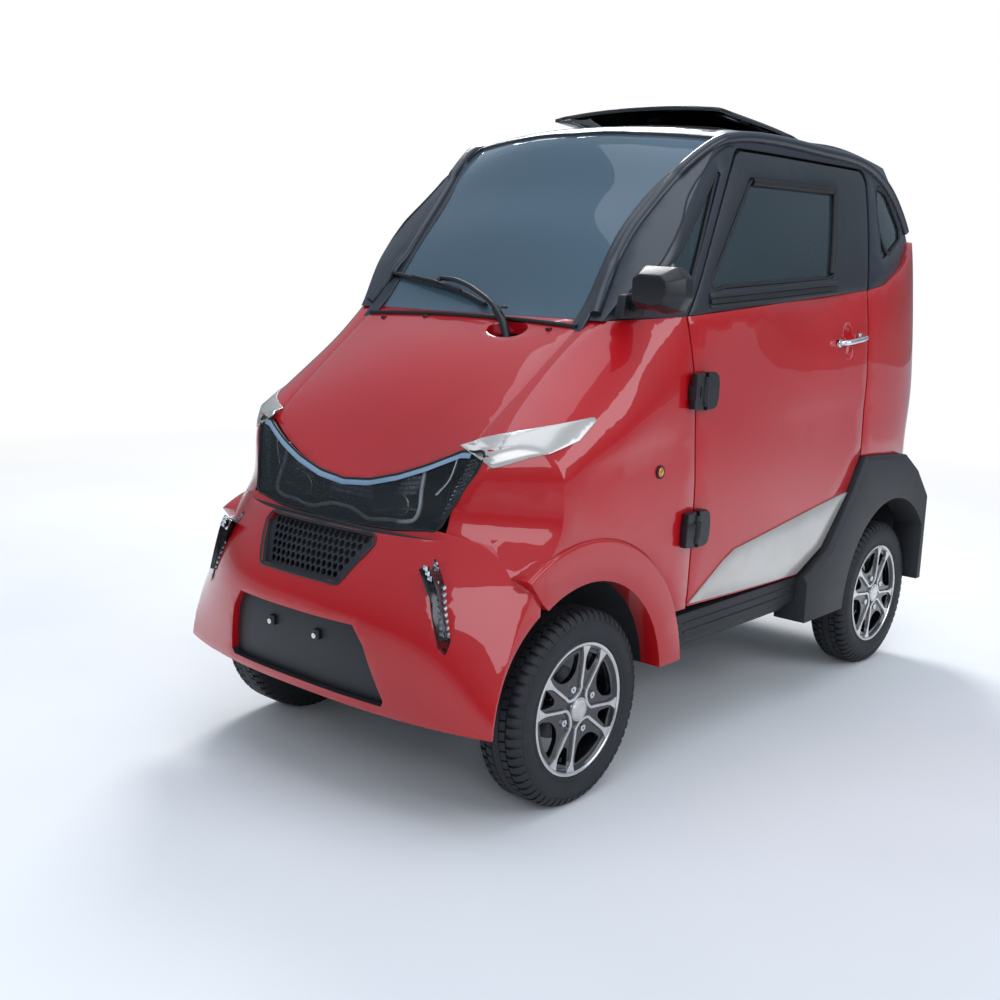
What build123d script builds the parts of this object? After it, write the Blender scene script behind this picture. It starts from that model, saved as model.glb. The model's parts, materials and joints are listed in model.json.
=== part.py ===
"""Electric microcar, millimetres, +Z up, +X the car's left, -Y its front.

The origin is on the ground under the middle of the car's box. Below, x and y are measured from the
centre plane and the middle of the body, and each piece is moved as it is written. The painted shell
is worked out as one outer form and one inner form; their difference is the wall, and every panel is
a region of that wall.
"""
from build123d import *
from math import cos, radians, sin, tan
import os

# Driving dimensions
length = 2480
# The one mirror widens the box on the car's left, so the box's middle lies beside the centre plane
box_middle_x, box_middle_y = 33.8, 5.7
wheelbase = 1680
front_overhang = 470
front_axle_y = front_overhang - length / 2
rear_axle_y = front_axle_y + wheelbase

tyre_radius = 247
tyre_width = 130
rim_radius = 168
rim_seat_radius = 152
wheel_plane_x = 483
axle_z = tyre_radius
king_pin_x = 372
spindle_radius = 16
spindle_end_x = 495
drum_radius = 92

wall = 36
glass_thickness = 5
glass_inset = 7
panel_gap = 0.6
moving_gap = 8
running_clearance = 0.05
seat_clearance = 0.3

front_arch_y = front_axle_y - 12
front_arch_radius = 325
front_flare_radius = 428
flare_proud_x = 566
arch_bottom_z = 290
rear_arch_radius = 338
rear_flare_x = 584

floor_z = 287
floor_thickness = 8
cabin_half_width = 478
rail_half_width = 230
rail_size = 50
rear_rail_rise = 175
rear_floor_z = floor_z + rear_rail_rise

door_hinge_x = 580
door_hinge_y = -345
door_hinge_z = 826
door_hinge_lean = 1
hatch_half_width = 302
hatch_front_y = 84
hatch_rear_y = 560
hatch_tilt = 5
tailgate_half_width = 384
tailgate_low_z = 762
tailgate_top_z = 1632

# Lower body sections, front to back
# y, half width and height of the sill, of the crease and of the shoulder edge, crown height,
# bulge of the side and of the shoulder
BODY_SECTIONS = [
    (-1270, 540, 250, 545, 765, 400, 838, 800, 6, 20),
    (-1040, 548, 250, 549, 775, 400, 840, 802, 6, 20),
    (-960, 550, 250, 550, 812, 404, 908, 910, 8, 22),
    (-896, 552, 250, 552, 824, 400, 955, 985, 8, 30),
    (-829, 552, 250, 553, 832, 400, 1005, 1047, 8, 40),
    (-738, 552, 250, 556, 842, 405, 1075, 1113, 8, 48),
    (-628, 552, 250, 557, 853, 428, 1160, 1172, 8, 50),
    (-390, 546, 250, 557, 875, 532, 1270, 1290, 8, 8),
    (100, 542, 250, 557, 890, 534, 1310, 1330, 10, 8),
    (700, 542, 250, 556, 905, 531, 1350, 1370, 10, 8),
    (950, 538, 250, 548, 915, 505, 1480, 1500, 10, 8),
    (1130, 500, 250, 512, 920, 450, 1560, 1580, 8, 8),
    (1290, 420, 250, 430, 920, 370, 1560, 1580, 6, 6),
]

# Front face: height, y at the centre line, how far the plan sweeps back at 550 mm from it
FRONT_FACE = [
    (200, -1178, 60),
    (280, -1196, 80),
    (440, -1230, 165),
    (500, -1226, 190),
    (560, -1208, 205),
    (640, -1162, 215),
    (700, -1125, 220),
    (760, -1113, 221),
    (880, -1097, 222),
    (1300, -1060, 222),
    (1700, -1040, 222),
]
FRONT_SWEEP_POWER = 2.6

# Back face: height, y at the centre line
REAR_FACE = [
    (200, 1165),
    (420, 1182),
    (600, 1168),
    (760, 1118),
    (900, 1168),
    (1088, 1234),
    (1180, 1240),
    (1300, 1216),
    (1453, 1150),
    (1580, 1040),
    (1680, 925),
    (1780, 800),
]
REAR_SWEEP = 28

# Cabin sides: y, half width at the belt, half width at the roof rail
CABIN_SIDES = [
    (-760, 372, 380),
    (-631, 432, 400),
    (-500, 497, 418),
    (-396, 543, 428),
    (-200, 548, 442),
    (0, 549, 462),
    (350, 549, 470),
    (700, 546, 466),
    (900, 534, 446),
    (1050, 510, 415),
    (1200, 470, 370),
    (1320, 430, 330),
]
BELT_LEVEL = 1200
RAIL_LEVEL = 1650

# Roof line: y, height on the centre line, height 440 mm from it
ROOF_LINE = [
    (-760, 1000, 990),
    (-620, 1178, 1168),
    (-500, 1345, 1312),
    (-400, 1474, 1424),
    (-300, 1590, 1525),
    (-210, 1685, 1606),
    (-100, 1716, 1676),
    (50, 1730, 1694),
    (350, 1737, 1702),
    (700, 1726, 1694),
    (900, 1702, 1674),
    (1100, 1660, 1640),
    (1320, 1600, 1590),
]
ROOF_EDGE_X = 440

# Belt line in side view, where paint meets the black cabin frame
BELT = [(-631, 1177), (-396, 1197), (650, 1277), (780, 1296), (960, 1362), (1140, 1456), (1320, 1560)]

# Door edges in side view, from the belt down
DOOR_FRONT = [(-396, 1197), (-354, 1000), (-337, 771), (-333, 428)]
DOOR_REAR = [(650, 1277), (666, 1000), (663, 752), (592, 645), (447, 475), (300, 410)]
DOOR_FRAME_TOP = [(-74, 1640), (712, 1648)]


def interpolate(table, position, column):
    """Read one column of a table at a position, by straight runs between its rows."""
    for low, high in zip(table, table[1:]):
        if position <= high[0]:
            break
    share = (position - low[0]) / (high[0] - low[0])
    return low[column] + (high[column] - low[column]) * share


def stations(table):
    """The positions of a table's rows."""
    return [row[0] for row in table]


ACROSS = (-640, -520, -400, -270, -130, 0, 130, 270, 400, 520, 640)


def front_face_y(x, z):
    sweep = interpolate(FRONT_FACE, z, 2) * (abs(x) / 550) ** FRONT_SWEEP_POWER
    return interpolate(FRONT_FACE, z, 1) + sweep


def rear_face_y(x, z):
    return interpolate(REAR_FACE, z, 1) - REAR_SWEEP * (abs(x) / 430) ** 3


def cabin_side_x(y, z):
    belt = interpolate(CABIN_SIDES, y, 1)
    rail = interpolate(CABIN_SIDES, y, 2)
    t = (z - BELT_LEVEL) / (RAIL_LEVEL - BELT_LEVEL)
    return belt + (rail - belt) * t + 10 * 4 * t * (1 - t)


def roof_z(x, y):
    centre = interpolate(ROOF_LINE, y, 1)
    edge = interpolate(ROOF_LINE, y, 2)
    return centre + (edge - centre) * (abs(x) / ROOF_EDGE_X) ** 2.2


def lamp_face_y(x, z):
    return -1090 + (z - 675) * 0.3 + 36 * (abs(x) / 412) ** 3.6


def surface_block(rows, columns, place, direction):
    """A thick block behind a curved surface, given as a function of two coordinates."""
    points = [[place(u, v) for v in columns] for u in rows]
    return Solid.extrude(Face.make_surface_from_array_of_points(points), Vector(*direction))


def front_block(inset):
    return surface_block(
        ACROSS, stations(FRONT_FACE),
        lambda x, z: (x, front_face_y(x, z) + inset, z), (0, 3000, 0))


def rear_block(inset):
    return surface_block(
        (-640, -430, -215, 0, 215, 430, 640), stations(REAR_FACE),
        lambda x, z: (x, rear_face_y(x, z) - inset, z), (0, -3000, 0))


def lamp_block(inset, depth):
    return surface_block(
        ACROSS, (600, 800, 1000),
        lambda x, z: (x, lamp_face_y(x, z) + inset, z), (0, depth, 0))


def cabin_block(inset):
    left = surface_block(
        stations(CABIN_SIDES), (1100, 1320, 1550, 1780),
        lambda y, z: (cabin_side_x(y, z) - inset, y, z), (-1400, 0, 0))
    return left & mirror(left, about=Plane.YZ)


def roof_block(inset):
    return surface_block(
        (-620, -440, -290, -145, 0, 145, 290, 440, 620), stations(ROOF_LINE),
        lambda x, y: (x, y, roof_z(x, y) - inset * 1.25), (0, 0, -900))


def bulged(start, end, bulge):
    """Middle point of an arc from start to end that stands out by bulge."""
    run = ((end[0] - start[0]) ** 2 + (end[1] - start[1]) ** 2) ** 0.5
    return (
        (start[0] + end[0]) / 2 + (end[1] - start[1]) / run * bulge,
        (start[1] + end[1]) / 2 - (end[0] - start[0]) / run * bulge)


def body_section(row, inset):
    """One cross section of the lower body: sill, side arc, shoulder arc and crown arc."""
    y, sill_x, sill_z, crease_x, crease_z, edge_x, edge_z, crown_z, side_bulge, shoulder_bulge = row
    sill = (sill_x - inset, sill_z)
    crease = (crease_x - inset, crease_z)
    edge = (edge_x - inset * 0.6, edge_z - inset * 0.8)
    side_mid = bulged(sill, crease, side_bulge)
    shoulder_mid = bulged(crease, edge, shoulder_bulge)

    def at(point, side=1):
        return (side * point[0], y, point[1])

    return Face(Wire([
        Line(at(sill, -1), at(sill)),
        ThreePointArc(at(sill), at(side_mid), at(crease)),
        ThreePointArc(at(crease), at(shoulder_mid), at(edge)),
        ThreePointArc(at(edge), (0, y, crown_z - inset), at(edge, -1)),
        ThreePointArc(at(edge, -1), at(shoulder_mid, -1), at(crease, -1)),
        ThreePointArc(at(crease, -1), at(side_mid, -1), at(sill, -1)),
    ]))


def side_prism(points, x0, x1):
    """A prism along X over an outline in side view."""
    outline = make_face(Polyline([(x0, y, z) for y, z in points], close=True))
    return extrude(outline, amount=x1 - x0, dir=(1, 0, 0))


def front_prism(points, y0, y1):
    """A prism along Y over an outline in front view."""
    outline = make_face(Polyline([(x, y0, z) for x, z in points], close=True))
    return extrude(outline, amount=y1 - y0, dir=(0, 1, 0))


def plan_prism(points, z0, z1):
    """A prism along Z over an outline in plan view."""
    outline = make_face(Polyline([(x, y, z0) for x, y in points], close=True))
    return extrude(outline, amount=z1 - z0, dir=(0, 0, 1))


def block(x0, x1, y0, y1, z0, z1):
    return Pos((x0 + x1) / 2, (y0 + y1) / 2, (z0 + z1) / 2) * Box(x1 - x0, y1 - y0, z1 - z0)


def drum(x0, x1, y, z, radius):
    """A cylinder along X."""
    return Pos((x0 + x1) / 2, y, z) * Rot(0, 90, 0) * Cylinder(radius, x1 - x0)


def rod(start, end, radius):
    """A round bar between two points."""
    a, b = Vector(*start), Vector(*end)
    return Solid.make_cylinder(radius, (b - a).length, Plane(origin=a, z_dir=b - a))


def both_sides(shape):
    return [shape, mirror(shape, about=Plane.YZ)]


def solids_of(shapes):
    """Flatten shapes, lists and compounds to a list of solids."""
    found = []
    for shape in shapes if isinstance(shapes, (list, tuple)) else [shapes]:
        if isinstance(shape, (list, tuple)):
            found += solids_of(shape)
        else:
            found += shape.solids()
    return found


def keep_large(shape, least=2000):
    """Drop the slivers that a cut leaves."""
    return [solid for solid in solids_of(shape) if solid.volume > least]


nodes = {}


def node(name, *shapes):
    nodes[name] = solids_of(list(shapes))


# Outer form, inner form and the wall between them


def lower_form(inset):
    form = loft([body_section(row, inset) for row in BODY_SECTIONS])
    form = form & front_block(inset) & rear_block(inset)
    notch = lamp_block(inset, -500) & block(-600, 600, -1700, -800, 676 - inset, 1010)
    return form - notch


lower_outer = lower_form(0)
lower_wall = lower_outer - lower_form(wall) - block(-700, 700, -1400, 1400, 200, 262)


def upper_form(inset):
    return cabin_block(inset) & roof_block(inset) & rear_block(inset)


upper_outer = upper_form(0)
upper_wall = upper_outer - upper_form(wall)
glass_wall = upper_form(glass_inset) - upper_form(glass_inset + glass_thickness)

below_belt = side_prism([(-1400, 100), (-1400, 1400), (-700, 1400), (-640, 1176)] + BELT + [(1320, 100)], -700, 700)
above_belt = side_prism([(-650, 1180)] + [(y, z + panel_gap) for y, z in BELT] + [(1320, 1900), (-650, 1900)],
                        -700, 700)
lower_wall = lower_wall & below_belt
upper_wall = upper_wall & above_belt

# Regions of the shell in side view


def shifted(points, dy, dz=0):
    return [(y + dy, z + dz) for y, z in points]


def back(points):
    return list(reversed(points))


half_gap = moving_gap / 2
door_lower_region = side_prism(shifted(DOOR_FRONT, half_gap) + back(shifted(DOOR_REAR, -half_gap)), 300, 700)


def door_frame_prism(outline):
    prism = side_prism(outline, 300, 700)
    corners = [edge for edge in prism.edges().filter_by(Axis.X) if edge.center().Z > 1500]
    return fillet(corners, 45)


(front_y, front_z), (rear_y, rear_z) = DOOR_FRONT[0], DOOR_REAR[0]
(top_front_y, top_front_z), (top_rear_y, top_rear_z) = DOOR_FRAME_TOP
front_slant = (top_front_y - front_y) / (top_front_z - front_z)
sill_cut = 20
door_upper_region = door_frame_prism([
    (front_y + half_gap, front_z), (top_front_y + half_gap, top_front_z - half_gap),
    (top_rear_y - moving_gap, top_rear_z - half_gap), (rear_y - half_gap, rear_z)])
door_upper_hole = door_frame_prism([
    (front_y - half_gap - sill_cut * front_slant, front_z - sill_cut),
    (top_front_y - half_gap, top_front_z + half_gap),
    (top_rear_y + moving_gap, top_rear_z + half_gap), (rear_y + half_gap, rear_z - sill_cut)])


def rounded_side_prism(points, radius, x0=300, x1=700):
    prism = side_prism(points, x0, x1)
    return fillet(prism.edges().filter_by(Axis.X), radius)


door_window = rounded_side_prism([(-300, 1262), (-28, 1568), (478, 1576), (408, 1308)], 16)
front_quarter_window = rounded_side_prism([(-462, 1300), (-386, 1262), (-160, 1572), (-178, 1572)], 6, 430)
rear_quarter_window = rounded_side_prism([(770, 1372), (782, 1600), (880, 1592), (1000, 1478), (990, 1450)], 14)

front_arch = drum(250, 700, front_arch_y, axle_z, front_arch_radius)
front_flare_cut = drum(250, 700, front_arch_y, axle_z, front_flare_radius)
rear_arch_back_y = 1172
rear_arch = drum(250, 700, rear_axle_y, axle_z, rear_arch_radius) & block(250, 700, 500, rear_arch_back_y, -200, 700)

flare_gap = moving_gap + 3
flare_inner_x = cabin_half_width + seat_clearance
rear_flare_outline = (
    [(300 + flare_gap, 262), (300 + flare_gap, 404)] + shifted(back(DOOR_REAR[3:5]), flare_gap)
    + [(676, 748), (800, 744), (1000, 728), (1100, 672), (1196, 580), (1200, 262)])
bumper_outline = [
    (-1320, 200), (-1320, 740), (-1067, 696), (-1010, 672), (-1010, 610), (-958, 548), (-958, 200)]
hood_line = [(345, -1100), (350, -1003), (360, -896), (365, -829), (370, -738), (376, -620)]

# Painted front: bumper, hood, fenders and flares

plate_field = [(-208, 474), (208, 474), (240, 430), (284, 300), (276, 286), (-276, 286), (-284, 300), (-240, 430)]
grille_field = [(-182, 668), (182, 668), (190, 650), (138, 560), (-138, 560), (-190, 650)]
corner_lamp_field = [(352, 640), (372, 618), (392, 590), (440, 470), (436, 440), (420, 452), (376, 560)]

lamp_edge = [(412, 882), (350, 880), (260, 838), (180, 808), (90, 784), (0, 775)]
lamp_foot = [(330, 697), (200, 680), (0, 675)]
lamp_outline = (
    lamp_edge + [(-x, z) for x, z in back(lamp_edge[:-1])]
    + [(-x, z) for x, z in lamp_foot[:-1]] + back(lamp_foot))
lamp_region = front_prism(lamp_outline, -1400, -820)

front_bumper = (lower_wall & side_prism(bumper_outline, -700, 700)) - both_sides(front_arch)
front_bumper = front_bumper - front_prism(grille_field, -1300, -1050) - front_prism(plate_field, -1300, -1100)
corner_lamp_region = front_prism(corner_lamp_field, -1300, -900)
front_bumper = front_bumper - both_sides(corner_lamp_region) - lamp_region
node("front_bumper", keep_large(front_bumper, 50000))
corner_lamp = (corner_lamp_region & front_block(-4)) - front_block(16)
node("corner_lamps", both_sides(Compound(keep_large(corner_lamp))))
plate_screw_x, plate_screw_z, plate_screw_radius = 83, 420, 3
plate_carrier = (front_prism(plate_field, -1300, -1100) & front_block(20)) - front_block(28)
for side in (-1, 1):
    plate_carrier -= Pos(side * plate_screw_x, -1200, plate_screw_z) * Rot(90, 0, 0) * Cylinder(plate_screw_radius, 120)
node("plate_carrier", keep_large(plate_carrier))


def honeycomb():
    """A plate of hexagonal holes set in the bumper's grille opening."""
    cell = 19
    row_rise = cell * 0.87
    plate = (front_prism(grille_field, -1300, -1050) & front_block(12)) - front_block(18)
    holes = []
    for row in range(6):
        z = 572 + row * row_rise
        reach = 126 + (z - 560) * 0.5
        shift = cell / 2 * (row % 2)
        count = int((reach - shift) // cell)
        for k in range(-count - row % 2, count + 1):
            holes.append(Pos(k * cell + shift, -1150, z) * Rot(90, 0, 0) * extrude(
                RegularPolygon(cell * 0.44, 6), 60, both=True))
    return plate - holes


node("front_grille", keep_large(honeycomb()))

hood_outline = hood_line + [(-x, y) for x, y in back(hood_line)]
hood = (lower_wall & plan_prism(hood_outline, 740, 1400) & block(-600, 600, -1300, -632, 700, 1400)) - lamp_region
cowl = lower_wall & block(-376, 376, -632, -560, 1000, 1400)
wiper_x, wiper_y = 176, -668
recess = Pos(wiper_x, wiper_y, 1000) * extrude(Ellipse(62, 36), 300)
node("hood_panel", keep_large(hood + cowl - recess, 50000))

fender_plan = plan_prism(
    [(350, -1300)] + hood_line[1:-1] + [(376, -632), (376, -560), (440, -300), (700, -300), (700, -1300)],
    200, 1400)
fender_side = side_prism(
    [(-1320, 740)] + bumper_outline[2:6] + [(-958, 250), (-300, 250)]
    + back(shifted(DOOR_FRONT, -half_gap)) + [(-640, 1176), (-700, 1400), (-1320, 1400)], 250, 700)
fender = (lower_wall & fender_side & fender_plan) - front_flare_cut - lamp_region - block(
    300, 700, -700, -300, 200, 424)
node("fenders", both_sides(Compound(keep_large(fender, 50000))))

flare_ring = drum(506, flare_proud_x, front_arch_y, axle_z, front_flare_radius) - drum(
    400, 700, front_arch_y, axle_z, front_arch_radius)
flare_ring = flare_ring & side_prism(
    [(-1010, 610), (-1010, 900), (-300, 900), (-300, arch_bottom_z), (front_arch_y, arch_bottom_z),
     (front_arch_y, 400), (-958, 548)], 450, 700)
flare_rim = [edge for edge in flare_ring.edges() if edge.geom_type == GeomType.CIRCLE
             and edge.center().X > 540 and edge.radius > 400]
node("front_flares", both_sides(fillet(flare_rim, 9)))

lamp_back = lamp_block(5, 500)
node("head_lamps", keep_large((lamp_region & lamp_back) - lamp_block(60, 600)))
node("lamp_cover", keep_large((lamp_region & lamp_block(0, 500)) - lamp_back))

trim_outline = [(-975, 895), (-943, 921), (-881, 940), (-756, 962), (-752, 955), (-817, 911), (-938, 876),
                (-993, 849)]
lower_outer_grown = lower_form(-5)
side_trim = (side_prism(trim_outline, 380, 700) & lower_outer_grown) - lower_outer - lamp_region
node("side_trims", both_sides(Compound(keep_large(side_trim, 500))))

# Doors: painted lower panel, black window frame, glass, silver panel, fittings

door_panel = lower_wall & door_lower_region
door_frame = (upper_wall & door_upper_region) - door_window
door_glass = glass_wall & door_window
silver_outline = [(-325, 440), (-170, 530), (-115, 556), (560, 640), (583, 640), (440, 480), (296, 416), (-325, 436)]
door_silver = (side_prism(silver_outline, 300, 700) & lower_outer_grown) - lower_outer
handle = rod((544, 446, 1118), (582, 468, 1121), 7) + rod((544, 596, 1133), (582, 574, 1130), 7)
handle += rod((582, 462, 1120), (582, 580, 1131), 9)
node("door_panel_left", keep_large(door_panel, 50000))
node("door_frame_left", keep_large(door_frame, 50000))
node("door_glass_left", keep_large(door_glass))
node("door_silver_left", keep_large(door_silver))
for part_name in ("door_panel", "door_frame", "door_glass", "door_silver"):
    node(part_name + "_right", [mirror(shape, about=Plane.YZ) for shape in nodes[part_name + "_left"]])

# Cabin frame, roof, hatch, glass

tailgate_region = block(-tailgate_half_width, tailgate_half_width, 900, 1400, tailgate_low_z, tailgate_top_z)
tailgate_gap = 6
tailgate_hole = block(-tailgate_half_width - tailgate_gap, tailgate_half_width + tailgate_gap, 900, 1400,
                      tailgate_low_z - moving_gap, tailgate_top_z + moving_gap)
windscreen_plan = [(-366, -640), (366, -640), (422, -126), (210, -186), (0, -206), (-210, -186), (-422, -126)]
windscreen_region = plan_prism(windscreen_plan, 1100, 1800)
roof_plan = [(-200, -170), (0, -192), (200, -170), (400, -96), (400, 880), (-400, 880), (-400, -96)]
roof_region = plan_prism(roof_plan, 1500, 1800)
hatch_opening = block(-280, 280, hatch_front_y + 24, hatch_rear_y - 24, 1600, 1800)

cabin_frame = upper_wall - windscreen_region - roof_region - tailgate_hole
for hole in (door_upper_hole, front_quarter_window, rear_quarter_window):
    cabin_frame = cabin_frame - both_sides(hole)
node("cabin_frame", keep_large(cabin_frame, 20000))
node("roof_panel", keep_large((upper_wall & roof_region) - hatch_opening, 20000))
node("windscreen", keep_large(glass_wall & windscreen_region & above_belt))
quarter_glass = [glass_wall & front_quarter_window, glass_wall & rear_quarter_window]
node("side_glass", both_sides(Compound(keep_large(quarter_glass, 200))))

hatch_plan = [(-hatch_half_width, hatch_front_y), (hatch_half_width, hatch_front_y),
              (hatch_half_width, hatch_rear_y), (-hatch_half_width, hatch_rear_y)]
hatch = [(plan_prism(hatch_plan, 1600, 1900) & roof_block(-14)) - roof_block(-6)]
hatch_hinge_x, hatch_hinge_y, hatch_pin_radius, hatch_tube_radius = 200, hatch_rear_y + 8, 4, 8
hatch_hinge_z = roof_z(hatch_hinge_x, hatch_rear_y) + 12.5
hatch_axis = Axis((0, hatch_hinge_y, hatch_hinge_z), (1, 0, 0))
hatch_lugs = []
for x in (-hatch_hinge_x, hatch_hinge_x):
    tube = drum(x - 15, x + 15, hatch_hinge_y, hatch_hinge_z, hatch_tube_radius)
    tube += block(x - 15, x + 15, hatch_rear_y - 8, hatch_hinge_y, hatch_hinge_z - 4, hatch_hinge_z + 4)
    bore = drum(x - 16, x + 16, hatch_hinge_y, hatch_hinge_z, hatch_pin_radius + running_clearance)
    hatch = [(hatch[0] + tube) - bore]
    lug = drum(x - 24, x + 24, hatch_hinge_y, hatch_hinge_z, hatch_pin_radius)
    for end in (-1, 1):
        lug += block(x + end * 20 - 4, x + end * 20 + 4, hatch_hinge_y - 7, hatch_hinge_y + 7,
                     hatch_hinge_z - 40, hatch_hinge_z + 6)
    hatch_lugs.append(lug - upper_outer)
node("roof_hatch", [shape.rotate(hatch_axis, -hatch_tilt) for shape in keep_large(hatch)])

# Rear of the body

quarter_outline = (
    shifted(DOOR_REAR[:3], half_gap) + [(676, 748)] + rear_flare_outline[5:8] + [(1260, 560), (1260, 1520)]
    + [(1140, 1456), (960, 1362), (780, 1296)])
quarter = (lower_wall & side_prism(quarter_outline, 250, 700)) - block(
    0, tailgate_half_width + tailgate_gap, 0, 1400, 200, 1800)
bumper_top_z = tailgate_low_z - moving_gap
quarter = quarter - block(0, flare_inner_x, 1000, 1400, 200, bumper_top_z + seat_clearance)
tail_lamp_region = front_prism([(398, 860), (398, 1110), (450, 1120), (472, 1080), (472, 900), (450, 862)], 1000, 1300)
quarter = quarter - tail_lamp_region
node("quarter_panels", both_sides(Compound(keep_large(quarter, 50000))))
tail_lamp = lower_wall & tail_lamp_region & block(300, 600, 1100, 1300, 800, 1200)
node("tail_lamps", both_sides(Compound(keep_large(tail_lamp))))

rear_flare = side_prism(rear_flare_outline, flare_inner_x, rear_flare_x) - rear_arch
flare_rim = [edge for edge in rear_flare.edges() if edge.center().X > rear_flare_x - 1 and edge.center().Z > 420
             and edge.geom_type == GeomType.LINE and edge.center().Y < 1160]
node("rear_flares", both_sides(chamfer(flare_rim, 12)))

window_field = [(-330, 1205), (-350, 1230), (-318, 1590), (-290, 1604), (290, 1604), (318, 1590), (350, 1230), (330, 1205)]
rear_window_region = front_prism(window_field, 800, 1400)
tailgate_panel = (lower_wall & tailgate_region) - rear_window_region
tailgate_frame = (upper_wall & tailgate_region) - rear_window_region
node("tailgate_panel", keep_large(tailgate_panel, 50000))
node("rear_window", keep_large((rear_window_region & rear_block(7)) - rear_block(12)))

bumper_profile = [(1040, bumper_top_z), (1108, bumper_top_z), (1160, 706), (1190, 610), (1198, 430), (1190, 300),
                  (rear_arch_back_y, 300), (rear_arch_back_y, 430), (1160, 596), (1130, 686), (1094, 722), (1040, 722)]
bumper_half = flare_inner_x - seat_clearance
bumper_plan = [(-bumper_half, 1000), (bumper_half, 1000), (bumper_half, 1180), (300, 1192), (0, 1198), (-300, 1192),
               (-bumper_half, 1180)]
rear_bumper = side_prism(bumper_profile, -bumper_half, bumper_half) & plan_prism(bumper_plan, 250, 800)
for side in (-1, 1):
    rear_bumper -= Pos(side * plate_screw_x, 1180, 560) * Rot(90, 0, 0) * Cylinder(plate_screw_radius, 80)
node("rear_bumper", keep_large(rear_bumper, 50000))

tailgate_hinge_y, tailgate_hinge_z = 986, 1652
hinge_fixed, hinge_moving = [], []
for x in (-240, 240):
    fixed = drum(x - 15, x + 15, tailgate_hinge_y, tailgate_hinge_z, 7)
    fixed += side_prism([(tailgate_hinge_y - 7, tailgate_hinge_z), (tailgate_hinge_y + 4, tailgate_hinge_z + 6),
                         (900, 1710), (900, 1660)], x - 15, x + 15)
    hinge_fixed.append(fixed - upper_outer)
    for end in (-1, 1):
        low, high = sorted((x + end * 15.3, x + end * 30))
        moving = drum(low, high, tailgate_hinge_y, tailgate_hinge_z, 7)
        moving += side_prism([(tailgate_hinge_y - 7, tailgate_hinge_z), (tailgate_hinge_y + 7, tailgate_hinge_z),
                              (1020, 1600), (1010, 1560), (960, 1600)], low, high)
        hinge_moving.append((moving - upper_outer) & block(-300, 300, 900, 1100, 1570, 1700))
for arm in hinge_moving:
    tailgate_frame = tailgate_frame + arm
node("tailgate_frame", keep_large(tailgate_frame, 5000))

# Chassis

rail_front_y, rail_rear_y = -1125, 1150
rail_outline = [
    (rail_front_y, floor_z - rail_size), (600, floor_z - rail_size), (740, rear_floor_z - rail_size),
    (rail_rear_y, rear_floor_z - rail_size), (rail_rear_y, rear_floor_z), (710, rear_floor_z), (570, floor_z),
    (rail_front_y, floor_z)]
rails = both_sides(side_prism(rail_outline, rail_half_width - rail_size / 2, rail_half_width + rail_size / 2))
chassis = rails[0] + rails[1]
rack_y, rack_z = front_axle_y + 110, 322
for cross_y in (front_axle_y - 110, rack_y, -150, 380):
    chassis += block(-rail_half_width, rail_half_width, cross_y - 20, cross_y + 20, floor_z - 40, floor_z)
for cross_y in (760, 1090):
    chassis += block(-rail_half_width, rail_half_width, cross_y - 20, cross_y + 20, rear_floor_z - 40, rear_floor_z)
front_beam = (block(-420, 420, -1300, -900, 262, floor_z) & front_block(wall + seat_clearance)) - front_block(wall + 40)
chassis += front_beam
chassis += block(-460, 460, 1130, rear_arch_back_y - seat_clearance, 414, 430)
strut_top_z = 548
for side in (-1, 1):
    tower = block(208, 252, front_axle_y - 22, front_axle_y + 22, floor_z - 1, strut_top_z + 16)
    tower += block(208, king_pin_x + 30, front_axle_y - 22, front_axle_y + 22, strut_top_z, strut_top_z + 16)
    chassis += tower if side > 0 else mirror(tower, about=Plane.YZ)
node("chassis_frame", chassis)

bulkhead_y, bulkhead_z, cowl_y = -448, 610, -630
floor = block(-cabin_half_width, cabin_half_width, bulkhead_y, 560, floor_z, floor_z + floor_thickness)
floor += block(-cabin_half_width, cabin_half_width, 552, 560, floor_z, rear_floor_z + floor_thickness)
floor += block(-400, 400, 560, 1080, rear_floor_z, rear_floor_z + floor_thickness)
floor += block(-cabin_half_width, cabin_half_width, bulkhead_y, bulkhead_y + 8, floor_z, bulkhead_z)
floor += block(-cabin_half_width, cabin_half_width, cowl_y, bulkhead_y + 8, bulkhead_z - 8, bulkhead_z)
floor += front_prism([(-478, bulkhead_z - 8), (478, bulkhead_z - 8), (478, 860), (392, 1076), (380, 1112), (-380, 1112),
                      (-392, 1076), (-478, 860)], cowl_y, cowl_y + 8)
node("floor_pan", floor)
node("battery_pack", block(-200, 200, -120, 350, 172, floor_z - 0.5))

sill_front = [(cabin_half_width, 288), (500, 288), (544, 330), (544, 404), (cabin_half_width, 404)]
sill = front_prism(sill_front, -450, rear_flare_outline[0][0] - 0.4) - front_flare_cut
node("sills", both_sides(sill))

# Wheels, knuckles and suspension

tyre_half = tyre_width / 2
bead_half = tyre_half - 14
flange_half = bead_half + 8


def tyre(x, y):
    """A tyre turned about its axle: beads, bulged side walls and a flat tread."""
    side = [(rim_seat_radius, bead_half), (rim_radius + seat_clearance, bead_half), (rim_radius + 1, flange_half),
            (rim_radius + 9, tyre_half - 3), (200, tyre_half), (224, tyre_half - 2), (238, tyre_half - 8),
            (tyre_radius, tyre_half - 18)]
    profile = Polyline(side + [(radius, -across) for radius, across in back(side)], close=True)
    return Pos(x, y, axle_z) * Rot(0, 0, -90) * revolve(make_face(profile), Axis.Y)


def axle_drum(across0, across1, radius):
    """A cylinder along Y for the wheel drawn about the origin."""
    return Pos(0, (across0 + across1) / 2, 0) * Rot(90, 0, 0) * Cylinder(radius, across1 - across0)


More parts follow.
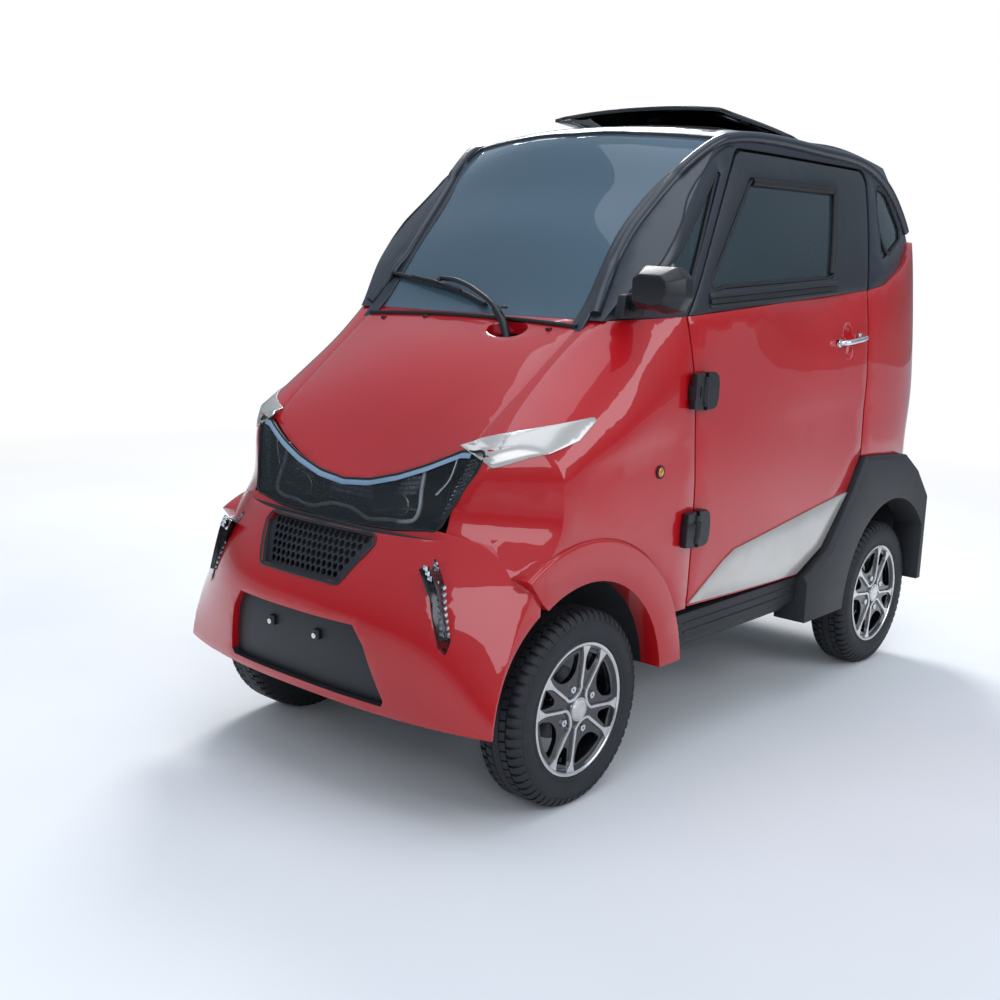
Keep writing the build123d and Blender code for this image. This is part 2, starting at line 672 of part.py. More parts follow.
def rim(x, y, side):
    """An alloy rim: barrel, four wide spokes with windows between them, hub and brake drum."""
    seat = rim_seat_radius - seat_clearance
    edge = bead_half + seat_clearance
    barrel = revolve(make_face(Polyline([
        (rim_radius - 1, -flange_half), (rim_radius - 1, -edge), (seat, -bead_half), (seat, bead_half),
        (rim_radius, edge), (rim_radius, flange_half), (rim_radius - 10, flange_half), (seat - 9, edge - 4),
        (seat - 9, 10 - bead_half), (rim_radius - 6, -flange_half)], close=True)), Axis.Y)
    face = revolve(make_face(Polyline([
        (0, edge - 22), (seat - 6, edge - 16), (seat - 6, edge - 4.5), (60, edge - 2), (0, edge - 2)],
        close=True)), Axis.Y)
    window = Plane.XZ * make_face(Polyline([
        (-20, 66), (0, 58), (20, 66), (46, 104), (42, 118), (0, 128), (-42, 118), (-46, 104)], close=True))
    face = face - [Rot(0, angle, 0) * extrude(window, 90, both=True) for angle in (0, 90, 180, 270)]
    hub = axle_drum(-30, edge - 10, 50)
    brake = axle_drum(-46, -14, drum_radius)
    cap = axle_drum(edge - 12, edge + 4, 27)
    bore = axle_drum(-60, spindle_end_x - wheel_plane_x + 4, spindle_radius + running_clearance)
    wheel = barrel + face + hub + brake + cap - bore
    return Pos(x, y, axle_z) * Rot(0, 0, -90 * side) * wheel


for end, y in (("front", front_axle_y), ("rear", rear_axle_y)):
    for hand, side in (("left", 1), ("right", -1)):
        node(f"tyre_{end}_{hand}", tyre(side * wheel_plane_x, y))
        node(f"rim_{end}_{hand}", rim(side * wheel_plane_x, y, side))


def knuckle(side):
    """Upright, spindle and steering arm."""
    upright = block(king_pin_x - 16, king_pin_x + 16, front_axle_y - 24, front_axle_y + 24, 176, 336)
    upright += drum(king_pin_x, spindle_end_x, front_axle_y, axle_z, spindle_radius)
    upright += block(king_pin_x - 12, king_pin_x + 12, front_axle_y, front_axle_y + 122, 296, 308)
    return upright if side > 0 else mirror(upright, about=Plane.YZ)


node("knuckle_left", knuckle(1))
node("knuckle_right", knuckle(-1))

arm_plan = [(255, front_axle_y - 110), (255, front_axle_y - 70), (330, front_axle_y - 12), (330, front_axle_y + 12),
            (255, front_axle_y + 70), (255, front_axle_y + 110), (388, front_axle_y + 22), (388, front_axle_y - 22)]
arm = plan_prism(arm_plan, 152, 175.7) + block(205, 255, front_axle_y - 110, front_axle_y - 70, 152, 237) + block(
    205, 255, front_axle_y + 70, front_axle_y + 110, 152, 237)
strut = rod((king_pin_x, front_axle_y, 336.3), (king_pin_x, front_axle_y, strut_top_z), 17)
strut += rod((king_pin_x, front_axle_y, 400), (king_pin_x, front_axle_y, 410), 34)
strut += rod((king_pin_x, front_axle_y, strut_top_z - 8), (king_pin_x, front_axle_y, strut_top_z), 34)
node("front_suspension", both_sides(arm), both_sides(strut))

axle = rod((-400, rear_axle_y, axle_z), (400, rear_axle_y, axle_z), 30)
axle += drum(-spindle_end_x, spindle_end_x, rear_axle_y, axle_z, spindle_radius)
axle += rod((-60, rear_axle_y, axle_z), (60, rear_axle_y, axle_z), 88)
axle += rod((0, rear_axle_y - 230, axle_z + 8), (0, rear_axle_y, axle_z + 8), 78)
node("rear_axle", axle)
shock = rod((300, rear_axle_y, axle_z + 30.3), (300, rear_axle_y, rear_floor_z - 12), 16)
shock += rod((300, rear_axle_y, rear_floor_z - 24), (300, rear_axle_y, rear_floor_z), 36)
shock += rod((300, rear_axle_y, axle_z + 40), (300, rear_axle_y, axle_z + 52), 36)
trailing_arm = block(280, 320, rear_axle_y - 300, rear_axle_y + 20, 198, 216.7)
trailing_arm += block(255.3, 320, rear_axle_y - 320, rear_axle_y - 300, 198, 270)
node("rear_suspension", both_sides(shock), both_sides(trailing_arm))

rack_housing = drum(-160, 160, rack_y, rack_z, 24) - drum(-200, 200, rack_y, rack_z, 14 + running_clearance)
rack_housing += block(-60, -30, rack_y - 20, rack_y + 20, floor_z, rack_z - 16) + block(
    30, 60, rack_y - 20, rack_y + 20, floor_z, rack_z - 16)
node("steering_rack", rack_housing)
tie_rod = drum(-330, 330, rack_y, rack_z, 14)
tie_rod = tie_rod + drum(-king_pin_x, king_pin_x, rack_y, rack_z, 8)
for side in (-1, 1):
    tie_rod += Pos(side * king_pin_x, rack_y, rack_z) * Cylinder(12, 20)
node("tie_rods", tie_rod)

# Wheel-arch liners

liner = drum(262, 506 - seat_clearance, front_arch_y, axle_z, front_arch_radius + 4) - drum(
    200, 700, front_arch_y, axle_z, front_arch_radius)
liner = liner & block(200, 700, front_arch_y - 400, front_arch_y + 400, arch_bottom_z, 700) & front_block(wall + 1)
rear_liner = drum(405, cabin_half_width, rear_axle_y, axle_z, rear_arch_radius + 4) - drum(
    200, 700, rear_axle_y, axle_z, rear_arch_radius)
rear_liner = rear_liner & block(200, 700, rear_axle_y - 400, rear_axle_y + 190, 330, 700)
node("wheel_liners", both_sides(liner), both_sides(rear_liner))

# Cabin inside

seat_x, seat_width = 236, 420


def cushion(x0, x1, y0, y1, z0, z1, radius=30):
    pad = block(x0, x1, y0, y1, z0, z1)
    return fillet(pad.edges(), radius)


front_seats = []
for side in (-1, 1):
    low, high = seat_x * side - seat_width / 2, seat_x * side + seat_width / 2
    seat = cushion(low, high, -60, 400, 420, 560)
    backrest = cushion(low, high, 400.3, 500, 430, 1080)
    base = block(low + 40, high - 40, 0, 360, floor_z + floor_thickness, 419.7)
    front_seats += [seat, backrest, base]
node("front_seats", front_seats)
bench = [cushion(-395, 395, 590, 930, rear_floor_z + 8.3, 600), cushion(-395, 395, 930.3, 1020, rear_floor_z + 8.3, 1040)]
node("rear_bench", bench)

# Steering wheel and column

wheel_centre = (seat_x, -290, 975)
column_foot = (seat_x, -600, 780)
shaft_radius = 11
column_radius = 24
axis_vector = (Vector(*wheel_centre) - Vector(*column_foot)).normalized()
column_length = (Vector(*wheel_centre) - Vector(*column_foot)).length


def along(distance):
    point = Vector(*column_foot) + axis_vector * distance
    return (point.X, point.Y, point.Z)


column = rod(along(0), along(column_length - 60), column_radius) - rod(
    along(-50), along(column_length), shaft_radius + running_clearance)
node("steering_column", column)
dash = side_prism([(cowl_y + 8.3, 820), (cowl_y + 8.3, 1112), (-560, 1134), (-472, 1118), (-448, 1090), (-442, 1000),
                   (-476, 860), (-560, 786)], -600, 600)
dash = dash & plan_prism([(-380, -632), (380, -632), (440, -560), (462, -440), (-462, -440), (-440, -560)], 700, 1200)
node("dashboard", keep_large(dash - rod(along(-60), along(column_length), column_radius + seat_clearance)))
steering_plane = Plane(origin=wheel_centre, z_dir=axis_vector)
wheel_rim = Solid.make_torus(178, 14, steering_plane)
steering_wheel = wheel_rim + rod(along(20), along(column_length + 10), shaft_radius) + rod(
    along(column_length - 12), along(column_length + 22), 44)
for angle in (90, 210, 330):
    tip = steering_plane.from_local_coords((176 * cos(radians(angle)), 176 * sin(radians(angle)), 0))
    steering_wheel += rod(wheel_centre, (tip.X, tip.Y, tip.Z), 9)
node("steering_wheel", steering_wheel)

# Door hinges, handle, mirror and wiper

hinge_levels = (1003, 645)
hinge_slope = tan(radians(door_hinge_lean))


def hinge_point(z):
    return (door_hinge_x - (z - door_hinge_z) * hinge_slope, door_hinge_y, z)


fixed_hinges, moving_hinges = [], []
for z in hinge_levels:
    x = hinge_point(z)[0]
    fixed = rod(hinge_point(z - 19.8), hinge_point(z + 19.8), 10)
    fixed += block(x - 44, x, door_hinge_y - 50, door_hinge_y - 4, z - 18, z + 18)
    moving = block(x - 44, x - 4, door_hinge_y + 16, door_hinge_y + 44, z - 38, z + 38)
    for low, high in ((z - 40, z - 20.1), (z + 20.1, z + 40)):
        moving += rod(hinge_point(low), hinge_point(high), 10)
        moving += block(x - 8, x + 8, door_hinge_y, door_hinge_y + 44, low + 2, high - 2)
    fixed_hinges.append(fixed - lower_outer)
    moving_hinges.append(moving - lower_outer)
node("fixed_hinges", both_sides(Compound(keep_large(fixed_hinges, 500))), keep_large(hinge_fixed, 300),
     keep_large(hatch_lugs, 300))
node("door_fittings_left", keep_large(moving_hinges, 500), handle - lower_outer)
node("door_fittings_right", [mirror(shape, about=Plane.YZ) for shape in nodes["door_fittings_left"]])

mirror_body = Pos(585, -600, 1262) * Rot(0, 0, 8) * Box(150, 76, 112)
mirror_body = fillet(mirror_body.edges(), 24)
mirror_stalk = rod((452, -556, 1220), (560, -598, 1244), 14)
node("side_mirror", (mirror_body + mirror_stalk) - cabin_block(0))

cup = extrude(Ellipse(61.7, 35.7), 200) - Pos(0, 0, 8) * extrude(Ellipse(57.7, 31.7), 200)
cup = (Pos(wiper_x, wiper_y, 1080) * cup) & (Pos(0, 0, -3) * lower_outer)
wiper_knee, wiper_tip = (150, -652, 1170), (-167, -588, 1286)
wiper = rod((wiper_x, wiper_y, 1166), wiper_knee, 8) + rod(wiper_knee, wiper_tip, 6)
wiper += rod((-372, -553, 1296), wiper_tip, 7) + rod(wiper_tip, (39, -624, 1228), 7)
wiper_pivot = rod((wiper_x, wiper_y, 1088), (wiper_x, wiper_y, 1172), 11)
node("wiper", cup + wiper_pivot + (wiper - upper_outer))

# Write every node
os.makedirs("parts", exist_ok=True)
for name, shapes in nodes.items():
    shapes = [shape.moved(Pos(-box_middle_x, -box_middle_y, 0)) for shape in shapes]
    export_step(Compound(label=name, children=shapes) if len(shapes) > 1 else shapes[0], f"parts/{name}.step")
    print(name, len(shapes))
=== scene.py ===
# %% [markdown]
# # Electric microcar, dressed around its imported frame
# A small electric car has a painted plastic shell, a black cabin frame, glass, moulded trim and
# four alloy wheels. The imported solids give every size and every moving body. This notebook copies
# the shell panels to round their seams, and builds in mesh code what a plain solid cannot show:
# tread, spokes, lamps, rubbers, seats and small trim.

# %% Load the frame
import json
from math import cos, pi, radians, sin, tau

import bmesh
import bpy
from mathutils import Matrix, Vector
from mathutils.bvhtree import BVHTree

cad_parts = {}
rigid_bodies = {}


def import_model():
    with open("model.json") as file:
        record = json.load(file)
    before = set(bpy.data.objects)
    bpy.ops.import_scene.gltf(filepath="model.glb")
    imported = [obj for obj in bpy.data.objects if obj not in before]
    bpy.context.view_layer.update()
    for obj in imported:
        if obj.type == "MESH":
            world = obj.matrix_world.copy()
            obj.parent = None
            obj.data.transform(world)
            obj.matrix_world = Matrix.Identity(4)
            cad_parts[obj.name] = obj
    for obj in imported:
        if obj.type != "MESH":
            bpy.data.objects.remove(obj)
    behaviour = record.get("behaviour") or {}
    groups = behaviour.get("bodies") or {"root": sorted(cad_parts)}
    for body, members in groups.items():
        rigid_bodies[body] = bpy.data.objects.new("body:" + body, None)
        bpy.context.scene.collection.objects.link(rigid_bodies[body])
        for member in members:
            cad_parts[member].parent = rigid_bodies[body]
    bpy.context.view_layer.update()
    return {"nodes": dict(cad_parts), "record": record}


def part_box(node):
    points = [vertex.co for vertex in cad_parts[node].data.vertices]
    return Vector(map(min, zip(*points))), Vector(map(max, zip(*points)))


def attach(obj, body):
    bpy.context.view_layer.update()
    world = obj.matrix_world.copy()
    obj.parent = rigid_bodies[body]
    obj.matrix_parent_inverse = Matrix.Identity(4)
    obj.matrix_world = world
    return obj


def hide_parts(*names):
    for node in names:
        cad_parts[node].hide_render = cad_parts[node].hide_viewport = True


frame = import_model()
nodes = frame["nodes"]
body_of = {node: body for body, names in frame["record"]["behaviour"]["bodies"].items() for node in names}

# %% [markdown]
# ## Measures read from the frame
# The frame's origin lies under the middle of the car's box, and its one mirror puts that middle
# beside the centre plane. This notebook measures from the centre plane and from the middle of the
# body, as the part's source does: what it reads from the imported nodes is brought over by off_centre,
# and every finished piece is moved back at the end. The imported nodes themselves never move.
# Lengths are written in millimetres where that reads better, and MM turns them to metres.

# %% Wheel measures
MM = 0.001
FRONT_AXLE = -770
SIDES = ((1, "left"), (-1, "right"))


def middle(node):
    """The middle of a node's box, measured from the centre plane."""
    low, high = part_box(node)
    return (low + high) / 2 - off_centre


off_centre = Vector((0, 0, 0))  # none yet, while the wheels are read as the frame has them
off_centre = Vector(((middle("tyre_front_left").x + middle("tyre_front_right").x) / 2,
                     middle("tyre_front_left").y - FRONT_AXLE * MM, 0))
wheel_names = [(end, hand) for end in ("front", "rear") for hand in ("left", "right")]
tyre_low, tyre_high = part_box("tyre_front_left")
tyre_radius = (tyre_high.z - tyre_low.z) / 2
front_axle_y = middle("tyre_front_left").y
rear_axle_y = middle("tyre_rear_left").y
print("tyre radius", round(tyre_radius, 4), "wheelbase", round(rear_axle_y - front_axle_y, 3))

# %% [markdown]
# ## Colour and material helpers
# Colours are hex sRGB, and one function turns them to the linear values that Blender works in.
# add_node puts a node in a tree with its settings and its links. finish makes one surface: a
# base colour with slow clouds of a second colour, an uneven gloss, and a grain of a stated size.

# %% Helpers for finishes
def colour(text):
    """Linear RGBA from a hex sRGB string."""
    levels = [int(text[i:i + 2], 16) / 255 for i in (1, 3, 5)]
    return tuple(c / 12.92 if c <= 0.04045 else ((c + 0.055) / 1.055) ** 2.4 for c in levels) + (1.0,)


def add_node(tree, kind, inputs=None, **settings):
    """Add a node. An input is a value, or a pair of another node and its output's name."""
    made = tree.nodes.new(kind)
    for name, value in settings.items():
        setattr(made, name, value)
    for name, value in (inputs or {}).items():
        if isinstance(value, tuple) and isinstance(value[0], bpy.types.Node):
            tree.links.new(value[0].outputs[value[1]], made.inputs[name])
        else:
            made.inputs[name].default_value = value
    return made


def finish(name, base, gloss, second=None, cloud_mm=400, grain_mm=3, relief=0.1, swing=0.04, **sockets):
    """A surface with clouds of a second colour, uneven roughness and a grain, in object coordinates."""
    made = bpy.data.materials.new(name)
    made.use_nodes = True
    tree = made.node_tree
    shader = tree.nodes["Principled BSDF"]
    place = add_node(tree, "ShaderNodeTexCoord")
    cloud = add_node(tree, "ShaderNodeTexNoise", {
        "Vector": (place, "Object"), "Scale": 1000 / cloud_mm, "Detail": 4.0})
    tone = add_node(tree, "ShaderNodeValToRGB", {"Fac": (cloud, "Fac")})
    low, high = tone.color_ramp.elements[0], tone.color_ramp.elements[1]
    low.position, high.position = 0.35, 0.65
    low.color, high.color = colour(base), colour(second or base)
    rough = add_node(tree, "ShaderNodeMapRange", {
        "Value": (cloud, "Fac"), "To Min": max(0.0, gloss - swing), "To Max": min(1.0, gloss + swing)})
    tree.links.new(tone.outputs["Color"], shader.inputs["Base Color"])
    tree.links.new(rough.outputs["Result"], shader.inputs["Roughness"])
    if relief:
        grain = add_node(tree, "ShaderNodeTexNoise", {
            "Vector": (place, "Object"), "Scale": 1000 / grain_mm, "Detail": 2.0})
        bump = add_node(tree, "ShaderNodeBump", {"Height": (grain, "Fac"), "Strength": relief,
                                                 "Distance": 0.0008})
        tree.links.new(bump.outputs["Normal"], shader.inputs["Normal"])
    for socket, value in sockets.items():
        shader.inputs[socket.replace("_", " ")].default_value = value
    return made

# %% [markdown]
# ## Finishes of the shell
# The panels are moulded ABS with sprayed paint under a clear coat: the coat gives the sharp
# reflections, and its faint orange peel, about 8 mm across, keeps them from looking like glass.
# The cabin frame is the same plastic sprayed satin blue-black. Trim is moulded polypropylene with
# a fine grain, drawn at 2.5 mm because the real 0.5 mm would not show at this distance.

# %% Shell finishes
red_paint = finish("sprayed_red_paint", "#B80614", 0.42, "#AC0410", 900, 8, 0.012, 0.03, Coat_Weight=1.0,
                   Coat_Roughness=0.025, Coat_IOR=1.5, Specular_IOR_Level=0.2)
frame_paint = finish("satin_blue_black_paint", "#1D2430", 0.36, "#171D28", 500, 6, 0.03, 0.05,
                     Coat_Weight=0.3, Coat_Roughness=0.25)
door_frame_paint = finish("satin_black_door_frame", "#20242C", 0.42, "#191D24", 500, 5, 0.04, 0.05,
                          Coat_Weight=0.2, Coat_Roughness=0.3)
roof_paint = finish("gloss_black_roof", "#0B0D12", 0.14, "#10131A", 700, 8, 0.012, 0.03, Coat_Weight=0.9,
                    Coat_Roughness=0.05)
moulded_black = finish("moulded_black_polypropylene", "#1A1C20", 0.55, "#22252A", 120, 2.5, 0.25, 0.07)
satin_black = finish("satin_black_nylon", "#101114", 0.38, "#16171B", 90, 3, 0.08, 0.06)
silver_paint = finish("champagne_silver_paint", "#C2BEB8", 0.3, "#B7B2AC", 300, 5, 0.02, 0.04, Metallic=0.5,
                      Coat_Weight=0.8, Coat_Roughness=0.08)
chrome = finish("chromed_plastic", "#E4E7EA", 0.07, "#D6DADE", 60, 6, 0.01, 0.02, Metallic=1.0)
rubber_seal = finish("extruded_rubber_seal", "#08090B", 0.55, "#0F1012", 60, 2, 0.08, 0.06)

# %% [markdown]
# ## Finishes of wheels, lamps and cabin
# The alloy is cast and sprayed gloss black, with its raised lines cut bright on a lathe. Tyre
# rubber is matt and a little dusty. Lamp reflectors are aluminised plastic, broken into facets.
# Seat cloth has a visible weave, drawn at 4 mm, and the cabin plastics are dark and dull.

# %% Wheel, lamp and cabin finishes
turned_alloy = finish("lathe_cut_alloy", "#D9D8D8", 0.22, "#C9C7C5", 30, 2, 0.03, 0.05, Metallic=0.85)
black_alloy = finish("gloss_black_cast_alloy", "#0B0B0E", 0.2, "#131318", 50, 3, 0.03, 0.05,
                     Coat_Weight=0.7, Coat_Roughness=0.08)
tyre_rubber = finish("tyre_rubber", "#15171B", 0.66, "#202227", 50, 3, 0.16, 0.08)
cast_steel = finish("e_coated_steel", "#1B1C1F", 0.5, "#26272A", 60, 3, 0.12, 0.08, Metallic=0.4)
brake_steel = finish("ground_brake_steel", "#5B5C60", 0.35, "#46474A", 25, 2, 0.08, 0.08, Metallic=0.9)
battery_case = finish("powder_coated_battery_case", "#2A2C30", 0.6, "#34363A", 80, 2, 0.2, 0.06)
amber_lens = finish("amber_acrylic_lens", "#D9840A", 0.12, "#BD6A05", 15, 3, 0.05, 0.03, Coat_Weight=0.8)
red_lens = finish("red_acrylic_lens", "#A00712", 0.1, "#72040C", 12, 3, 0.08, 0.03, Coat_Weight=1.0)
lamp_case = finish("black_lamp_case", "#17191C", 0.22, "#24262A", 60, 5, 0.04, 0.06, Coat_Weight=0.6,
                   Coat_Roughness=0.1)
bright_facet = finish("aluminised_reflector", "#DCE1E6", 0.12, "#8F969C", 9, 5, 0.3, 0.06, Metallic=0.9)
light_guide = finish("milky_light_guide", "#D5DADD", 0.3, "#C3C9CD", 40, 5, 0.02, 0.04, Coat_Weight=0.5)
seat_cloth = finish("woven_seat_cloth", "#2B2D33", 0.88, "#383A42", 25, 4, 0.5, 0.05, Sheen_Weight=0.4)
seat_side = finish("grained_seat_vinyl", "#1C1D20", 0.5, "#24252A", 60, 3, 0.25, 0.06)
dark_lining = finish("dark_cabin_lining", "#18191C", 0.8, "#202125", 80, 3, 0.2, 0.05)
carpet = finish("needled_carpet", "#141518", 0.95, "#1F2024", 20, 3, 0.6, 0.03)
dash_plastic = finish("soft_dash_plastic", "#1A1C20", 0.6, "#212429", 90, 2.5, 0.22, 0.06)

# %% [markdown]
# ## Glass
# The windows are thin clear sheets with a faint green tint. A pane is see-through when faced and
# turns into a mirror at grazing angles, so its alpha follows Fresnel, and a strong clear coat gives
# the reflections. The lamp cover and the hatch have a dark body under the coat. The windscreen, rear
# window and side glass get a blue-grey body colour that is partly the glass's tint and partly painted
# sky reflection. Dust leaves slow clouds in the gloss.

# %% Glass finishes
def pane(name, tint, least, most=1.0):
    """A thin pane whose alpha grows from least when faced to most at grazing angles."""
    # The tint is the pane's body colour; in the window and side panes it is partly painted sky reflection.
    made = finish(name, tint, 0.03, tint, 300, 5, 0.0, 0.015, Specular_IOR_Level=1.0, Coat_Weight=1.0,
                  Coat_Roughness=0.01, Coat_IOR=1.6)
    tree = made.node_tree
    edge = add_node(tree, "ShaderNodeFresnel", {"IOR": 1.5})
    share = add_node(tree, "ShaderNodeMapRange", {
        "Value": (edge, "Fac"), "From Min": 0.04, "From Max": 0.6, "To Min": least, "To Max": most})
    tree.links.new(share.outputs["Result"], tree.nodes["Principled BSDF"].inputs["Alpha"])
    return made


# The pale blue-grey of the windscreen and the darker blue-grey of the side glass are partly tint and partly
# painted sky reflection.
window_pane_painted_sky = pane("laminated_window_glass", "#6F8A9B", 0.24)
side_pane_painted_sky = pane("tempered_side_glass", "#3A4A52", 0.34)
smoked_pane = pane("smoked_hatch_acrylic", "#0B0D10", 0.9)
lamp_pane = pane("clear_lamp_polycarbonate", "#2A3136", 0.10, 0.8)

# %% [markdown]
# ## Mesh helpers
# Every helper leaves a plain mesh at the origin. A flat outline with holes is drawn as a filled 2D
# curve, which rounds its own edges. Points on the shell are found by shooting a ray at the packed
# nodes, so trim lies on the surface that carries it.

# %% Mesh helpers
def link(name, mesh, material=None):
    piece = bpy.data.objects.new(name, mesh)
    bpy.context.scene.collection.objects.link(piece)
    if material:
        mesh.materials.clear()
        mesh.materials.append(material)
    return piece


def baked(piece):
    """Turn an object and its modifiers into a plain mesh object of the same name."""
    bpy.context.view_layer.update()
    mesh = bpy.data.meshes.new_from_object(piece.evaluated_get(bpy.context.evaluated_depsgraph_get()))
    name, materials = piece.name, [slot.material for slot in piece.material_slots]
    bpy.data.objects.remove(piece)
    fresh = link(name, mesh)
    if not mesh.materials:
        for material in materials:
            mesh.materials.append(material)
    return fresh


def smooth(piece, angle=35):
    piece.data.shade_smooth()
    piece.data.set_sharp_from_angle(angle=radians(angle))
    return piece


def from_faces(name, points, faces, material, angle=35):
    mesh = bpy.data.meshes.new(name)
    mesh.from_pydata([tuple(p) for p in points], [], faces)
    work = bmesh.new()
    work.from_mesh(mesh)
    bmesh.ops.remove_doubles(work, verts=work.verts, dist=0.000005)
    bmesh.ops.recalc_face_normals(work, faces=work.faces)
    work.to_mesh(mesh)
    work.free()
    return smooth(link(name, mesh, material), angle)


def grid_faces(rows, columns, ring=False, tube=False):
    """Faces between rows of points; ring joins the last column to the first, tube the last row."""
    return [(i * columns + j, i * columns + (j + 1) % columns,
             (i + 1) % rows * columns + (j + 1) % columns, (i + 1) % rows * columns + j)
            for i in range(rows if tube else rows - 1) for j in range(columns if ring else columns - 1)]


def walled(piece, wall_mm, angle):
    """Give a thin sheet a thickness, half of it to each side."""
    wall = piece.modifiers.new("wall", "SOLIDIFY")
    wall.thickness, wall.offset = wall_mm * MM, 0
    return smooth(baked(piece), angle)


def rounded(piece, width, segments=2, angle=30):
    bevel = piece.modifiers.new("round", "BEVEL")
    bevel.width, bevel.segments = width, segments
    bevel.limit_method, bevel.angle_limit = "ANGLE", radians(angle)
    return smooth(baked(piece), angle)


def slab(name, low, high, material, edge=0.004, segments=3):
    """A block with rounded edges."""
    xs, ys, zs = zip(low, high)
    points = [(x, y, z) for x in xs for y in ys for z in zs]
    faces = [(0, 1, 3, 2), (4, 6, 7, 5), (0, 4, 5, 1), (2, 3, 7, 6), (0, 2, 6, 4), (1, 5, 7, 3)]
    return rounded(from_faces(name, points, faces, material), edge, segments)


def turned(name, centre, profile, material, side=1, steps=96, angle=30):
    """Turn a closed profile of (mm along the axle, mm of radius) about an axle along X."""
    points = []
    for k in range(steps):
        turn = tau * k / steps
        points += [(centre[0] + side * across * MM, centre[1] + radius * MM * cos(turn),
                    centre[2] + radius * MM * sin(turn)) for across, radius in profile]
    return from_faces(name, points, grid_faces(steps, len(profile), True, True), material, angle)


def plate(name, outlines, depth, bevel, material, place):
    """A plate cut to the first outline with the others as holes, laid by a matrix. Lengths in mm."""
    line = bpy.data.curves.new(name, "CURVE")
    line.dimensions, line.fill_mode = "2D", "BOTH"
    line.extrude, line.bevel_depth, line.bevel_resolution = (depth / 2 - bevel) * MM, bevel * MM, 1
    for outline in outlines:
        spline = line.splines.new("BEZIER")
        spline.bezier_points.add(len(outline) - 1)
        for knot, point in zip(spline.bezier_points, outline):
            knot.co = (point[0] * MM, point[1] * MM, 0)
            knot.handle_left_type = knot.handle_right_type = "VECTOR"
        spline.use_cyclic_u, spline.resolution_u = True, 1
    piece = baked(link(name, line))
    piece.data.transform(place)
    piece.data.materials.clear()
    piece.data.materials.append(material)
    return smooth(piece, 30)


def bar(name, points, radius, material, closed=False, sides=12):
    """A round bar along a smooth line through points in metres."""
    line = bpy.data.curves.new(name, "CURVE")
    line.dimensions, line.bevel_depth, line.bevel_resolution = "3D", radius, sides // 4
    line.use_fill_caps = True
    spline = line.splines.new("BEZIER")
    spline.bezier_points.add(len(points) - 1)
    for knot, point in zip(spline.bezier_points, points):
        knot.co = point
        knot.handle_left_type = knot.handle_right_type = "AUTO"
    spline.use_cyclic_u, spline.resolution_u = closed, 8
    piece = baked(link(name, line))
    piece.data.materials.clear()
    piece.data.materials.append(material)
    return smooth(piece, 50)


def joined(name, pieces):
    """Several pieces as one mesh that keeps their materials."""
    materials, work = [], bmesh.new()
    for piece in pieces:
        own = list(piece.data.materials)
        for material in own:
            if material not in materials:
                materials.append(material)
        start = len(work.faces)
        work.from_mesh(piece.data)
        work.faces.ensure_lookup_table()
        for face in work.faces[start:]:
            face.material_index = materials.index(own[face.material_index])
        bpy.data.objects.remove(piece)
    mesh = bpy.data.meshes.new(name)
    work.to_mesh(mesh)
    work.free()
    made = link(name, mesh)
    for material in materials:
        mesh.materials.append(material)
    return made


def seated(piece, node, *replaced):
    """Let a piece ride with the body of a node, and stand for the nodes that it replaces."""
    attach(piece, body_of[node])
    if replaced:
        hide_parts(*replaced)
    return piece


targets = {}


def strike(names, origin, direction):
    """The first point where a ray meets one of the named nodes, in metres."""
    best = None
    for name in names:
        if name not in targets:
            work = bmesh.new()
            work.from_mesh(nodes[name].data)
            bmesh.ops.translate(work, verts=work.verts, vec=-off_centre)
            targets[name] = BVHTree.FromBMesh(work)
            work.free()
        place, normal, _, distance = targets[name].ray_cast(Vector(origin), Vector(direction))
        if place and (best is None or distance < best[1]):
            best = (place, distance, normal)
    return best


def side_skin(names, y, z, out=0.0, side=1):
    """The shell's surface at a height and a length on one side, in millimetres in, metres out."""
    found = strike(names, (side * 0.9, y * MM, z * MM), (-side, 0, 0))
    return found[0] + Vector((side * out * MM, 0, 0)) if found else None

# %% [markdown]
# ## Repeats
# Tread blocks, wheel nuts, spoke lines, vent slats and lamp facets repeat one small piece. One
# Geometry Nodes tree turns copies of a piece about the axle, another sets them out in a row. Both
# end in Realize Instances and Set Material, because only real faces are exported.

